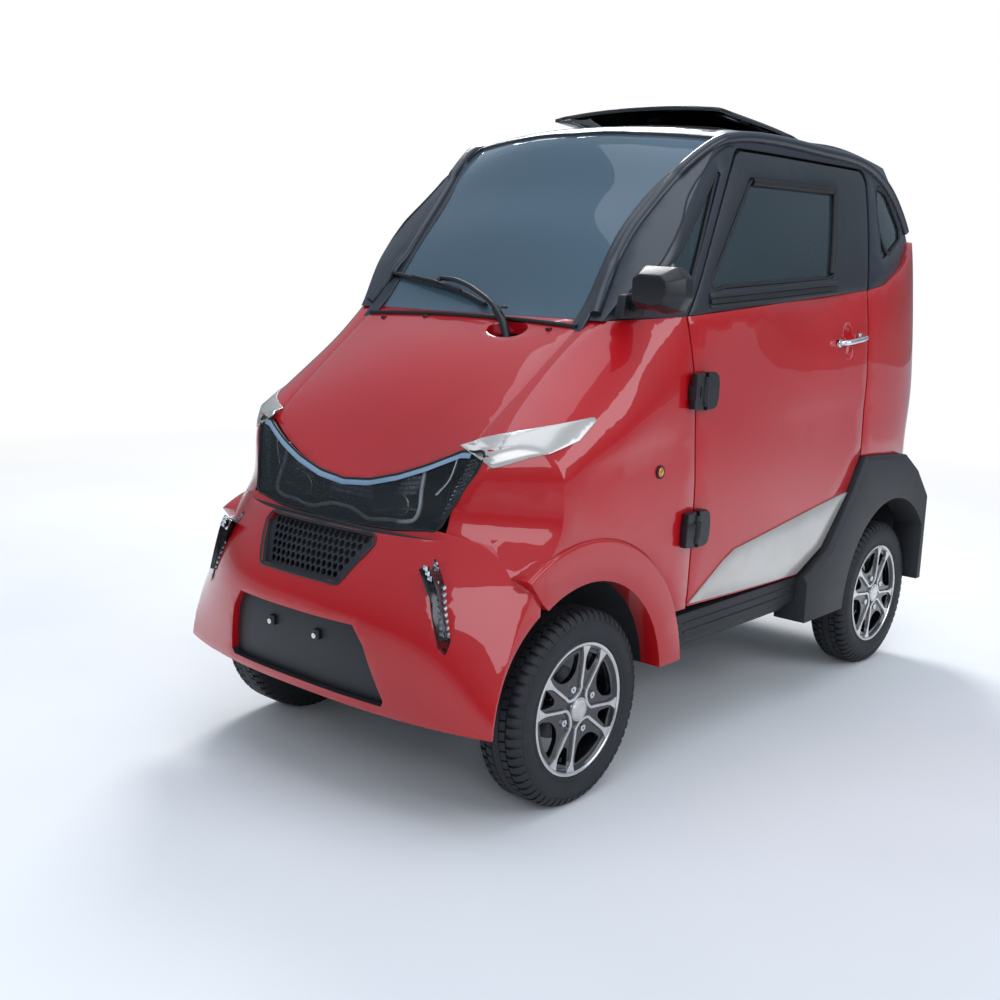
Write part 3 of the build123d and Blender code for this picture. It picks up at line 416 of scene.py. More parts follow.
# %% Repeats with Geometry Nodes
def repeat_tree(name, turning):
    """Copies of one object, turned about an X axis through Centre, or moved along Step."""
    tree = bpy.data.node_groups.new(name, "GeometryNodeTree")
    face = tree.interface
    face.new_socket("Piece", in_out="INPUT", socket_type="NodeSocketObject")
    face.new_socket("Count", in_out="INPUT", socket_type="NodeSocketInt")
    face.new_socket("Centre", in_out="INPUT", socket_type="NodeSocketVector")
    face.new_socket("Step", in_out="INPUT", socket_type="NodeSocketVector")
    face.new_socket("Start", in_out="INPUT", socket_type="NodeSocketVector")
    face.new_socket("Finish", in_out="INPUT", socket_type="NodeSocketMaterial")
    face.new_socket("Geometry", in_out="OUTPUT", socket_type="NodeSocketGeometry")
    given = add_node(tree, "NodeGroupInput")
    source = add_node(tree, "GeometryNodeObjectInfo", {"Object": (given, "Piece")})
    dots = add_node(tree, "GeometryNodePoints", {"Count": (given, "Count"), "Position": (given, "Centre")})
    number = add_node(tree, "GeometryNodeInputIndex")
    reach = add_node(tree, "ShaderNodeVectorMath", {0: (given, "Step")}, operation="SCALE")
    tree.links.new(number.outputs["Index"], reach.inputs["Scale"])
    whole = add_node(tree, "ShaderNodeVectorMath", {0: (reach, "Vector"), 1: (given, "Start")},
                     operation="ADD")
    if turning:
        copies = add_node(tree, "GeometryNodeInstanceOnPoints", {
            "Points": (dots, "Points"), "Instance": (source, "Geometry"), "Rotation": (whole, "Vector")})
    else:
        moved = add_node(tree, "GeometryNodeSetPosition", {"Geometry": (dots, "Points"),
                                                           "Offset": (whole, "Vector")})
        copies = add_node(tree, "GeometryNodeInstanceOnPoints", {
            "Points": (moved, "Geometry"), "Instance": (source, "Geometry")})
    real = add_node(tree, "GeometryNodeRealizeInstances", {"Geometry": (copies, "Instances")})
    painted = add_node(tree, "GeometryNodeSetMaterial", {
        "Geometry": (real, "Geometry"), "Material": (given, "Finish")})
    add_node(tree, "NodeGroupOutput", {"Geometry": (painted, "Geometry")})
    return tree


turned_copies = repeat_tree("turned_copies", True)
row_of_copies = repeat_tree("row_of_copies", False)


def repeated(name, tree, piece, count, centre, step, material, start=(0, 0, 0)):
    """Run a repeat tree on a template piece, and keep the result as a plain mesh."""
    holder = link(name, bpy.data.meshes.new(name))
    maker = holder.modifiers.new("repeat", "NODES")
    maker.node_group = tree
    given = {"Piece": piece, "Count": count, "Centre": centre, "Step": step, "Start": start,
             "Finish": material}
    for socket in tree.interface.items_tree:
        if socket.item_type == "SOCKET" and socket.in_out == "INPUT":
            maker[socket.identifier] = given[socket.name]
    holder = baked(holder)
    holder.data.materials.clear()
    holder.data.materials.append(material)
    for face in holder.data.polygons:
        face.material_index = 0
    return smooth(holder, 35)

# %% [markdown]
# ## Dressed panels
# A moulded panel has rounded edges of about 3 mm, and the seam between two panels shows because
# both edges turn in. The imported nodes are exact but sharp, so each shell panel is copied, its
# loose triangles merged, and its edges rounded. Faces that look into the cabin or under the hood
# are not painted, so they get the dark lining.

# %% Panel helper
def dressed(node, material, edge_mm=3.0, segments=2, angle=32, inside=None):
    """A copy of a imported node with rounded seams, standing for the node."""
    mesh = nodes[node].data.copy()
    mesh.transform(Matrix.Translation(-off_centre))
    work = bmesh.new()
    work.from_mesh(mesh)
    bmesh.ops.remove_doubles(work, verts=work.verts, dist=0.00003)
    bmesh.ops.dissolve_degenerate(work, edges=work.edges, dist=0.00003)
    work.to_mesh(mesh)
    work.free()
    if "custom_normal" in mesh.attributes:
        mesh.attributes.remove(mesh.attributes["custom_normal"])
    piece = smooth(link(node + "_shell", mesh, material), angle)
    if edge_mm:
        piece = rounded(piece, edge_mm * MM, segments, angle)
    if inside:
        piece.data.materials.append(inside)
        for face in piece.data.polygons:
            centre = face.center
            hub = Vector((0, max(-0.62, min(0.75, centre.y)), 0.86))
            if face.normal.dot((hub - centre).normalized()) > 0.3:
                face.material_index = 1
    return seated(piece, node, node)

# %% [markdown]
# ## The painted shell, the cabin frame and the plain trim
# These panels keep the form of their nodes, which was measured from the photograph.

# %% Shell
for node in ("front_bumper", "hood_panel", "fenders", "front_flares", "quarter_panels", "tailgate_panel",
             "door_panel_left", "door_panel_right"):
    dressed(node, red_paint, 3.0, inside=dark_lining)
for node in ("cabin_frame", "tailgate_frame"):
    dressed(node, frame_paint, 3.0, inside=dark_lining)
for node in ("door_frame_left", "door_frame_right"):
    dressed(node, door_frame_paint, 3.0, inside=dark_lining)
dressed("roof_panel", roof_paint, 3.0, inside=dark_lining)
for node in ("side_trims", "door_silver_left", "door_silver_right"):
    dressed(node, silver_paint, 1.6)
for node in ("rear_flares", "rear_bumper", "sills"):
    dressed(node, moulded_black, 3.0)
for node in ("plate_carrier", "front_grille", "wheel_liners"):
    dressed(node, moulded_black, 0.0)
for node in ("chassis_frame", "front_suspension", "rear_axle", "rear_suspension", "steering_rack",
             "knuckle_left", "knuckle_right", "tie_rods"):
    dressed(node, cast_steel, 1.5)
dressed("floor_pan", carpet, 0.0)
dressed("battery_pack", battery_case, 6.0, 3)
dressed("dashboard", dash_plastic, 14.0, 4)
dressed("steering_column", satin_black, 0.0)
for node in ("windscreen", "side_glass", "door_glass_left", "door_glass_right", "rear_window"):
    dressed(node, side_pane_painted_sky if "side" in node or "door" in node else window_pane_painted_sky, 0.0)

# %% [markdown]
# ## Wheels
# Each wheel is a black cast rim whose raised lines are cut bright: a thin ring at the edge, and
# four U shapes that start on the ring as flared feet, run in beside a spoke and bend round a wheel
# nut. The ring and barrel are turned profiles, the black face is a plate with window holes, and
# one U is drawn flat, then repeated by the turning tree. Nothing is written on the plain cap.

# %% Smooth lines and ribbons
def flowing(points, steps=5, closed=False):
    """Points of a smooth line through the given ones (Catmull-Rom)."""
    points = [Vector(p) for p in points]
    count, made = len(points), []
    for k in range(count if closed else count - 1):
        if closed:
            a, b, c, d = (points[(k + j) % count] for j in (-1, 0, 1, 2))
        else:
            a, b, c, d = points[max(k - 1, 0)], points[k], points[k + 1], points[min(k + 2, count - 1)]
        for step in range(steps):
            t = step / steps
            made.append(0.5 * (2 * b + (c - a) * t + (2 * a - 5 * b + 4 * c - d) * t * t
                               + (3 * b - a - 3 * c + d) * t ** 3))
    return made if closed else made + [points[-1]]


def ribbon(points, widths, steps=5):
    """The outline of a band along a flat line whose half width changes from point to point."""
    path = flowing([(u, v, w) for (u, v), w in zip(points, widths)], steps)
    left, right = [], []
    for k, here in enumerate(path):
        run = path[min(k + 1, len(path) - 1)] - path[max(k - 1, 0)]
        across = Vector((-run.y, run.x)).normalized() * here.z
        left.append((here.x + across.x, here.y + across.y))
        right.append((here.x - across.x, here.y - across.y))
    return left + right[::-1]


def round_outline(centre, radius, steps=64):
    return [(centre[0] + radius * cos(tau * k / steps), centre[1] + radius * sin(tau * k / steps))
            for k in range(steps)]


def polar(radius, degrees_from_up):
    return radius * sin(radians(degrees_from_up)), radius * cos(radians(degrees_from_up))


def turned_about(points, degrees_round):
    c, s = cos(radians(degrees_round)), sin(radians(degrees_round))
    return [(u * c - v * s, u * s + v * c) for u, v in points]


star_turn = 23.0
half_u = [polar(162, 31), polar(147, 30.7), polar(129, 30.3), polar(100, 30.3), (33, 56), (28, 46),
          (18, 38.5), (0, 35)]
half_width = [17.5, 9.5, 3.4, 2.7, 2.7, 2.7, 2.7, 2.7]
u_line = ribbon(half_u + [(-u, v) for u, v in half_u[-2::-1]], half_width + half_width[-2::-1], 4)
wide_window = [polar(142, a) for a in (-22, -11, 0, 11, 22)] + [polar(108, 19.5), polar(92, 12),
                                                                polar(86, 0), polar(92, -12),
                                                                polar(108, -19.5)]
narrow_window = [polar(142, a) for a in (35.5, 40, 45, 50, 54.5)] + [polar(104, 50.5), polar(97, 45),
                                                                     polar(104, 39.5)]
print("U line outline points", len(u_line))

# %% Rims
def wheel_place(centre, side, across):
    """A matrix that lays a flat drawing in the wheel's plane, its front outwards."""
    return Matrix(((0, 0, side, centre[0] + side * across * MM), (side, 0, 0, centre[1]),
                   (0, 1, 0, centre[2]), (0, 0, 0, 1)))


def build_rim(end, hand):
    centre, side = middle(f"tyre_{end}_{hand}"), 1 if hand == "left" else -1
    name = f"rim_{end}_{hand}"
    barrel = turned(name + "_barrel", centre, [
        (-59, 167), (-59, 161), (-42, 143), (34, 143), (46, 146), (57, 156), (59, 160), (59, 167.7),
        (51.6, 167.7), (51, 151.6), (-51, 151.6), (-51.4, 167)], black_alloy, side)
    holes = []
    for k in range(4):
        holes += [turned_about(flowing(window, 4, True), star_turn + 90 * k)
                  for window in (wide_window, narrow_window)]
    face = plate(name + "_face", [round_outline((0, 0), 149, 96)] + holes, 14, 1.5, black_alloy,
                 wheel_place(centre, side, 44))
    ring = turned(name + "_ring", centre, [(56, 157.5), (59, 159), (61, 162), (61, 165.5), (60, 168),
                                           (56.5, 168)], turned_alloy, side)
    line = plate("u_line", [u_line], 8, 1.2, turned_alloy, wheel_place((0, 0, 0), side, 54))
    lines = repeated(name + "_lines", turned_copies, line, 4, centre, (tau / 4, 0, 0), turned_alloy,
                     (radians(star_turn) * side, 0, 0))
    nut = plate("nut", [round_outline((0, 59), 8.5, 6), round_outline((0, 59), 4.2, 12)], 9, 1.2, chrome,
                wheel_place((0, 0, 0), side, 53))
    nuts = repeated(name + "_nuts", turned_copies, nut, 4, centre, (tau / 4, 0, 0), chrome,
                    (radians(star_turn) * side, 0, 0))
    hub = turned(name + "_hub", centre, [(-30, 17), (-30, 50), (20, 52), (44, 60), (50, 46), (52, 30),
                                         (52, 17)], black_alloy, side)
    brake = turned(name + "_brake", centre, [
        (-46, 17), (-46, 88), (-42, 92), (-34, 92), (-33, 89), (-30, 89), (-29, 92), (-21, 92), (-20, 89),
        (-17, 89), (-16, 92), (-14, 90), (-14, 17)], brake_steel, side)
    cap = turned(name + "_cap", centre, [
        (48, 0.1), (60.5, 0.1), (61.8, 8), (61.6, 20), (60.2, 25), (58.5, 26), (58.5, 27), (60, 27.5),
        (60, 29.5), (57, 30.5), (48, 30.5)], turned_alloy, side)
    valve = bar(name + "_valve", [centre + Vector((side * 0.046, *(Vector(polar(r, 203)) * MM)))
                                  for r in (136, 130, 124)], 0.0032, rubber_seal)
    for template in (line, nut):
        bpy.data.objects.remove(template)
    return seated(joined(name + "_alloy", [barrel, face, ring, lines, nuts, hub, brake, cap, valve]), name,
                  name)


for end, hand in wheel_names:
    build_rim(end, hand)

# %% [markdown]
# ## Tyres
# The tyre has a smooth side wall with fine rings, a square shoulder and a road tread. Rubber is
# moulded, so every pitch of the tread is the same: one pitch holds a shoulder block and a rib
# block for each side, and the tree turns sixty of them about the axle.

# %% Tyres
tread_pitches = 60
pitch = tau / tread_pitches


def tread_pitch(name):
    """One pitch of tread about the origin: four blocks with slanted ends."""
    shoulder = [(34, 239), (34, 246.4), (46, 246.2), (55.5, 239.5), (61.6, 229), (62.6, 223), (57, 222),
                (49, 234)]
    rib = [(13, 239), (13, 246.9), (30.5, 246.7), (30.5, 239)]
    points, faces = [], []
    for mirror_sign in (1, -1):
        for outline, share, shift, slant in ((shoulder, 0.33, 0.0, 0.10), (rib, 0.42, 0.5, 0.22)):
            start = len(points)
            for end_sign in (-1, 1):
                for across, radius in outline:
                    turn = pitch * (end_sign * share + shift + slant * (across - 30) / 30)
                    points.append((mirror_sign * across * MM, radius * MM * sin(turn),
                                   radius * MM * cos(turn)))
            count = len(outline)
            ends = [tuple(range(start, start + count)), tuple(range(start + count, start + 2 * count))]
            sides = [(start + j, start + (j + 1) % count, start + count + (j + 1) % count,
                      start + count + j)
                     for j in range(count)]
            faces += ends + sides
    return from_faces(name, points, faces, tyre_rubber, 30)


def build_tyre(end, hand):
    name, centre = f"tyre_{end}_{hand}", middle(f"tyre_{end}_{hand}")
    half = [(51, 152.4), (51.6, 168.4), (57, 168.8), (60.5, 171), (62.4, 175), (62, 178), (61, 180),
            (62.8, 184), (64.4, 194), (64.9, 204), (64.3, 211), (63.9, 212), (63.9, 213.5), (64.4, 214.5),
            (64, 218), (62.5, 219), (62, 221), (60.5, 226), (55, 236), (46, 240), (11.5, 240), (11, 246.6),
            (8, 246.9)]
    wall = turned(name + "_wall", centre, half + [(-a, r) for a, r in half[::-1]], tyre_rubber, 1, 120, 25)
    template = tread_pitch("pitch")
    blocks = repeated(name + "_blocks", turned_copies, template, tread_pitches, centre, (pitch, 0, 0),
                      tyre_rubber)
    bpy.data.objects.remove(template)
    return seated(joined(name + "_rubber", [wall, blocks]), name, name)


for end, hand in wheel_names:
    build_tyre(end, hand)

# %% [markdown]
# ## Laying trim on the shell
# Much of the trim is a thin moulding that follows the shell. A grid of rough points is thrown
# along one direction until each lands on the panel below, lifted a little, and given a thickness.
# The moulding then fits the curve under it at every point, from any side.

# %% Draped mouldings
def landed(names, point, direction, out_mm):
    """Throw a point, given in mm, along a direction onto the named nodes; lift it back by out_mm."""
    direction = Vector(direction).normalized()
    start = Vector(point) * MM - direction * 0.4
    found = strike(names, start, direction)
    place = found[0] if found else Vector(point) * MM
    return place - direction * out_mm * MM


def draped(name, rows, direction, names, out_mm, thick_mm, material, edge_mm=1.0):
    """A moulding over a grid of rough points in mm, closed and with rounded edges."""
    direction = Vector(direction).normalized()
    front = [[landed(names, point, direction, out_mm) for point in row] for row in rows]
    back = [[point + direction * thick_mm * MM for point in row] for row in front]
    width, height = len(rows[0]), len(rows)
    points = [p for row in front for p in row] + [p for row in back for p in row]
    offset, faces = width * height, []
    for i in range(height - 1):
        for j in range(width - 1):
            a, b, c, d = i * width + j, i * width + j + 1, (i + 1) * width + j + 1, (i + 1) * width + j
            faces += [(a, b, c, d), (a + offset, d + offset, c + offset, b + offset)]
    rim = ([(0, j) for j in range(width)] + [(i, width - 1) for i in range(1, height)]
           + [(height - 1, j) for j in range(width - 2, -1, -1)] + [(i, 0)
                                                                    for i in range(height - 2, 0, -1)])
    for (i, j), (k, m) in zip(rim, rim[1:] + rim[:1]):
        a, b = i * width + j, k * width + m
        faces.append((a, b, b + offset, a + offset))
    piece = from_faces(name, points, faces, material, 40)
    return rounded(piece, edge_mm * MM, 2, 50) if edge_mm else piece


def between(first, second, count):
    """Rows from one line of points to another."""
    return [[Vector(a).lerp(Vector(b), k / (count - 1)) for a, b in zip(first, second)]
            for k in range(count)]


def flipped(points):
    return [(-x, y, z) for x, y, z in points]

# %% [markdown]
# ## Head lamps
# One glossy cover runs across the whole nose. Under it lie a black case, a milky light guide that
# runs along the lower edge and turns up at each end, three crystal units, a round dipped-beam lens
# on each side and a slanted stack of facets in each outer corner. The case is lofted behind the
# cover's own curve, and the facets are little pyramids set out by the row tree.

# %% Lamp form
def lamp_point(x, z, deep):
    """A point behind the lamp cover's surface, in mm in, metres out."""
    return Vector((x, -1090 + (z - 675) * 0.3 + 36 * (abs(x) / 412) ** 3.6 + deep, z)) * MM


def on_line(table, x):
    """Read a height from a table of (x, z) with x rising."""
    x = min(abs(x), table[-1][0])
    for (x0, z0), (x1, z1) in zip(table, table[1:]):
        if x <= x1:
            return z0 + (z1 - z0) * (x - x0) / (x1 - x0)


lamp_top = [(0, 775), (90, 784), (180, 808), (260, 838), (350, 880), (412, 882)]
lamp_bottom = [(0, 675), (200, 680), (330, 697), (412, 881)]
case_rows = []
for x in [-408 + 816 * k / 68 for k in range(69)]:
    low, high = on_line(lamp_bottom, x) + 2, on_line(lamp_top, x) - 2
    deep = 62 - 34 * (abs(x) / 408) ** 3
    case_rows.append([lamp_point(x, low, 6), lamp_point(x, low + (high - low) * 0.03, deep * 0.5),
                      lamp_point(x, low + (high - low) * 0.16, deep),
                      lamp_point(x, low + (high - low) * 0.84, deep),
                      lamp_point(x, low + (high - low) * 0.97, deep * 0.6), lamp_point(x, high, 6)])
case = walled(from_faces("case", [p for row in case_rows for p in row],
                         grid_faces(len(case_rows), len(case_rows[0])), lamp_case, 40), 1.5, 40)

# %% Lamp units
def facet(name, size_mm, tall_mm):
    """A small four-sided pyramid that points forwards, with a cut-off tip."""
    half, tip = size_mm / 2 * MM, size_mm / 7 * MM
    points = [(x * half, 0, z * half) for x, z in ((-1, -1), (1, -1), (1, 1), (-1, 1))] + [
        (x * tip, -tall_mm * MM, z * tip) for x, z in ((-1, -1), (1, -1), (1, 1), (-1, 1))]
    return from_faces(name, points, [(3, 2, 1, 0), (4, 5, 6, 7), (0, 1, 5, 4), (1, 2, 6, 5), (2, 3, 7, 6),
                                     (3, 0, 4, 7)], bright_facet, 10)


crystal = facet("crystal", 11, 7)
small_crystal = facet("small_crystal", 9, 6)
units = []


def crystal_row(start, end, count, template):
    """A row of facets from one lamp point to another."""
    a, b = lamp_point(*start), lamp_point(*end)
    units.append(repeated("row", row_of_copies, template, count, a, (b - a) / (count - 1), bright_facet))


for level in (737, 749, 761):
    crystal_row((-72, level, 34), (72, level, 34), 13, crystal)
for side in (-1, 1):
    for step, level in enumerate((757, 769, 781, 793)):
        crystal_row((side * (158 + step * 5), level, 34), (side * (214 + step * 5), level + 9, 32), 6,
                    crystal)
    for column in range(4):
        crystal_row((side * (318 + column * 9), 722 + column * 13, 26),
                    (side * (366 + column * 9), 858 + column * 3, 12), 14 - column, small_crystal)
    shelf = [lamp_point(side * x, z, d) for x, z, d in ((96, 706, 30), (170, 722, 30), (246, 730, 28))]
    units.append(bar("shelf", shelf, 0.0035, bright_facet))
    wedge = [lamp_point(side * x, z, d) for x, z, d in ((286, 770, 24), (312, 806, 24), (330, 862, 14))]
    units.append(bar("wedge", wedge, 0.0045, chrome))
    centre = lamp_point(side * 176, 731, 38)
    steps = ((0.5, -22), (8, -21), (15, -17), (20, -10), (22, 0))
    points = [(centre.x + r * MM * cos(tau * k / 32), centre.y + y * MM,
               centre.z + r * MM * sin(tau * k / 32))
              for k in range(32) for r, y in steps]
    units.append(from_faces("dipped_lens", points, grid_faces(32, len(steps), tube=True), lamp_pane, 60))
    ring = [centre + Vector((24.5 * cos(tau * k / 24), 1, 24.5 * sin(tau * k / 24))) * MM
            for k in range(24)]
    units.append(bar("lens_ring", ring, 0.003, chrome, closed=True))
for template in (crystal, small_crystal):
    bpy.data.objects.remove(template)
guide = [(248, 832), (252, 780), (258, 730), (252, 712), (236, 704), (170, 698), (100, 692), (68, 700),
         (40, 707), (0, 709)]
guide_path = [lamp_point(x, z, 11) for x, z in guide] + [lamp_point(-x, z, 11) for x, z in guide[-2::-1]]
units.append(bar("light_guide_bar", guide_path, 0.0052, light_guide))
seated(joined("head_lamp_case", [case] + units), "head_lamps", "head_lamps")
dressed("lamp_cover", lamp_pane, 0.0)

# The pale blue-grey strip along the top edge of the lamp cover is a painted sky reflection, not a tint of the
# cover.
painted_sky_strip = finish("tinted_lamp_brow", "#86A0B8", 0.1, "#6F8AA4", 200, 6, 0.01, 0.03, Coat_Weight=1.0)
brow_rows = [[lamp_point(x, on_line(lamp_top, x) - 15, -2.0), lamp_point(x, on_line(lamp_top, x) - 9, -2.4),
              lamp_point(x, on_line(lamp_top, x) - 3, 0.5), lamp_point(x, on_line(lamp_top, x) - 1, 7)]
             for x in [-372 + 744 * k / 62 for k in range(63)]]
brow_sheet = from_faces("lamp_brow", [p for row in brow_rows for p in row],
                        grid_faces(len(brow_rows), len(brow_rows[0])), painted_sky_strip, 60)
seated(walled(brow_sheet, 1.2, 60), "lamp_cover")
edge_line = ([(x, on_line(lamp_bottom, x)) for x in range(-400, 401, 25)]
             + [(x, on_line(lamp_top, x)) for x in range(400, -401, -25)])
seated(bar("lamp_edge_seal", [lamp_point(x, z, 1.5) for x, z in edge_line], 0.0032, rubber_seal,
           closed=True, sides=8), "lamp_cover")

# %% [markdown]
# ## Corner lamps, side markers and tail lamps
# The crescent lamps in the bumper's corners have a clear lens over a bright stepped reflector. The
# side markers are amber buttons in a black ring. The photograph does not show the tail lamps, so
# they are a plain guess: a red lens with an amber and a clear band.

# %% Small lamps
for side, hand in ((-1, "right"), (1, "left")):
    line = [(362, 627), (376, 606), (388, 580), (399, 552), (409, 524), (419, 496), (427, 470)]
    inner, outer = ([(side * (x + shift), -1150, z + lift) for x, z in line]
                    for shift, lift in ((-17, -6), (13, 6)))
    parts = [draped("corner_back", between(inner, outer, 4), (0, 1, 0), ["corner_lamps"], -9, 3,
                    lamp_case, 0)]
    gem = facet("gem", 13, 6)
    for shift in (-5, 6):
        for pair in zip(line, line[1:]):
            a, b = (landed(["corner_lamps"], (side * (x + shift), -1150, z), (0, 1, 0), -8)
                    for x, z in pair)
            parts.append(repeated("gems", row_of_copies, gem, 2, a, (b - a) / 2, bright_facet))
    bpy.data.objects.remove(gem)
    seated(joined("corner_reflector_" + hand, parts), "corner_lamps")
    spot = side_skin(["fenders"], -503, 810, 0, side)
    marker = turned("marker_lens", spot, [(0, 0.1), (0, 12.5), (4, 12.5), (6.5, 9), (7.5, 4), (7.6, 0.1)],
                    amber_lens, side, 40)
    ring = turned("marker_ring", spot, [(-1, 12.5), (-1, 17), (3, 17.5), (5, 15.5), (5, 12.6)], rubber_seal,
                  side, 40)
    seated(joined("side_marker_" + hand, [marker, ring]), "fenders")
dressed("corner_lamps", lamp_pane, 1.0)
dressed("tail_lamps", red_lens, 3.0)
for side, hand in ((-1, "right"), (1, "left")):
    bands = []
    for low, high, finish_here in ((1050, 1088, amber_lens), (886, 916, light_guide)):
        ends = [[(side * x, 1240, z) for x in (408, 422, 436, 448, 460)] for z in (low, high)]
        bands.append(draped("band", between(*ends, 4), (0, -1, 0), ["tail_lamps"], 2.5, 5, finish_here,
                            1.2))
    seated(joined("tail_lamp_bands_" + hand, bands), "tail_lamps")
print("small lamps made")

# %% [markdown]
# ## Silver blades, door rubbers and the raised pillar
# The silver blade on each fender is a painted moulding glued to the panel, so it is draped over
# it. Round the door's window runs a fat rubber, thickest along the top and the rear edge. The
# cabin's front pillar stands proud as one rounded rail that runs on along the roof to the tail.

# %% Silver blades on the fenders
blade_top = flowing([(339, -1010, 893), (402, -943, 921), (470, -881, 940), (528, -756, 962)], 5)
blade_bottom = flowing([(425, -993, 849), (482, -945, 874), (522, -880, 893), (539, -817, 911)], 5)
for side, hand in SIDES:
    top = blade_top if side > 0 else flipped(blade_top)
    bottom = blade_bottom if side > 0 else flipped(blade_bottom)
    blade = draped("side_blade_" + hand, between(top, bottom, 7), (-side * 0.78, 0.62, -0.06), ["fenders"],
                   4.5, 7, silver_paint, 1.6)
    seated(blade, "side_trims", *(["side_trims"] if side > 0 else []))

# %% Rubbers round the glass
def straight_loop(corners, reach, step):
    """A closed outline with rounded corners and points along its straight runs."""
    rounded_points, made = [], []
    for k, corner in enumerate(corners):
        here = Vector(corner)
        before, after = (here + (Vector(other) - here).normalized() * reach
                         for other in (corners[k - 1], corners[(k + 1) % len(corners)]))
        rounded_points += [before, here.lerp((before + after) / 2, 0.5), after]
    for a, b in zip(rounded_points, rounded_points[1:] + rounded_points[:1]):
        pieces = max(1, int((b - a).length / step))
        made += [a.lerp(b, k / pieces) for k in range(pieces)]
    return made


def side_bar(name, line, side, radius_mm, names, out_mm, material, closed=False):
    points = [side_skin(names, p[0], p[1], out_mm, side) for p in line]
    return bar(name, [p for p in points if p], radius_mm * MM, material, closed=closed, sides=8)


front_quarter_corners = [(-462, 1300), (-386, 1262), (-178, 1570)]
rear_quarter_corners = [(770, 1372), (782, 1600), (880, 1592), (1000, 1478), (990, 1450)]
for side, hand in SIDES:
    frame_name, glass = "door_frame_" + hand, ["door_glass_" + hand]
    thin = straight_loop([(-286, 1268), (-24, 1562), (470, 1570), (402, 1312)], 16, 60)
    top_run = [(-20 + k * 48, 1558 + k * 0.9) for k in range(11)]
    rear_run = [(466 - k * 9.2, 1560 - k * 34) for k in range(8)]
    parts = [side_bar("thin", thin, side, 5, glass, 4, rubber_seal, True),
             side_bar("top", top_run, side, 12, glass, 3, rubber_seal),
             side_bar("rear", rear_run, side, 11, glass, 3, rubber_seal)]
    seated(joined("door_window_rubber_" + hand, parts), frame_name)
    steps = []
    for drop, out, tall, paint in ((6, 5, 13, door_frame_paint), (22, 8, 12, rubber_seal),
                                   (37, 4, 8, door_frame_paint)):
        line = [(-296 + 72 * j, 1262 + 6.5 * 72 * j / 100 - drop) for j in range(11)]
        edges = [[(side * 545, y, z - low) for y, z in line] for low in (0, tall)]
        steps.append(draped("step", between(*edges, 3), (-side, 0, 0), [frame_name], out, out + 3, paint,
                            1.2))
    seated(joined("door_sill_strips_" + hand, steps), frame_name)
    for name, corners, reach in (("quarter_rubber_", front_quarter_corners, 14),
                                 ("rear_quarter_rubber_", rear_quarter_corners, 16)):
        seated(side_bar(name + hand, straight_loop(corners, reach, 50), side, 5, ["side_glass"], 4,
                        rubber_seal, True), "cabin_frame")
print("rubbers made")

# %% Raised pillar and roof rail
rail_line = [(402, -600, 1188), (384, -520, 1298), (381, -440, 1400), (389, -368, 1472), (402, -305, 1536),
             (420, -240, 1596), (437, -170, 1640), (448, -100, 1664), (455, -10, 1678), (462, 160, 1684),
             (465, 400, 1682), (462, 640, 1674), (458, 790, 1648), (452, 920, 1592), (444, 1020, 1520),
             (436, 1085, 1460)]
upper_nodes = ["cabin_frame", "windscreen", "roof_panel"]
for side, hand in SIDES:
    points = []
    for x, y, z in flowing(rail_line, 3):
        sideways = 0.75 if y > -150 else 0.55
        backwards = 0.2 if y < -150 else 0.0
        points.append(landed(upper_nodes, (side * x, y, z), (-side * sideways, backwards, -0.75), 3))
    seated(bar("roof_rail_" + hand, points, 0.015, frame_paint, sides=16), "cabin_frame")
    inner = [(352, -640, 1150), (347, -540, 1257), (341, -438, 1394), (347, -369, 1466), (362, -313, 1524),
             (386, -258, 1573), (408, -213, 1613), (425, -160, 1640)]
    outer = [(392, -640, 1150), (392, -540, 1257), (392, -438, 1394), (400, -369, 1466), (412, -313, 1524),
             (424, -258, 1573), (436, -213, 1613), (440, -160, 1640)]
    if side < 0:
        inner, outer = flipped(inner), flipped(outer)
    seated(draped("pillar_" + hand, between(flowing(inner, 3), flowing(outer, 3), 6), (0, 1, -0.35),
                  upper_nodes, 4, 9, frame_paint, 2.0), "cabin_frame")
groove = [(-560, 1215), (-470, 1322), (-380, 1430), (-300, 1516), (-200, 1600), (-120, 1640), (-90, 1646)]
for side, hand in SIDES:
    seated(side_bar("pillar_groove_" + hand, flowing([(y, z, 0) for y, z in groove], 4), side, 2.6,
                    ["cabin_frame"], 0.6, rubber_seal), "cabin_frame")
print("rails made")

# %% [markdown]
# ## Door hardware
# The handle is a chromed pull over an oval finger recess, which is cut into the copied door panel.
# The hinges show as two black covers on each side of the shut line: a small one with a notch on
# the fender, and a larger one with a round end on the door.

# %% Handles, recesses and hinge covers
def carved(panel_name, cutter):
    """Cut one closed piece out of another and keep the result plain."""
    panel = bpy.data.objects[panel_name]
    knife = panel.modifiers.new("cut", "BOOLEAN")
    knife.operation, knife.object, knife.solver = "DIFFERENCE", cutter, "EXACT"
    bpy.context.view_layer.update()
    mesh = bpy.data.meshes.new_from_object(panel.evaluated_get(bpy.context.evaluated_depsgraph_get()))
    panel.modifiers.remove(knife)
    if len(mesh.polygons) > 50:
        panel.data = mesh
    bpy.data.objects.remove(cutter)
    return panel


def egg(name, centre, radii, material):
    """A closed oval body with the given half sizes in mm."""
    points, rings, steps = [], 14, 32
    for i in range(1, rings):
        lean = pi * i / rings
        for k in range(steps):
            turn = tau * k / steps
            points.append((centre[0] + radii[0] * MM * cos(lean),
                           centre[1] + radii[1] * MM * sin(lean) * cos(turn),
                           centre[2] + radii[2] * MM * sin(lean) * sin(turn)))
    faces = grid_faces(rings - 1, steps, True)
    faces += [tuple(range(steps)), tuple(range((rings - 2) * steps, (rings - 1) * steps))[::-1]]
    return from_faces(name, points, faces, material, 60)


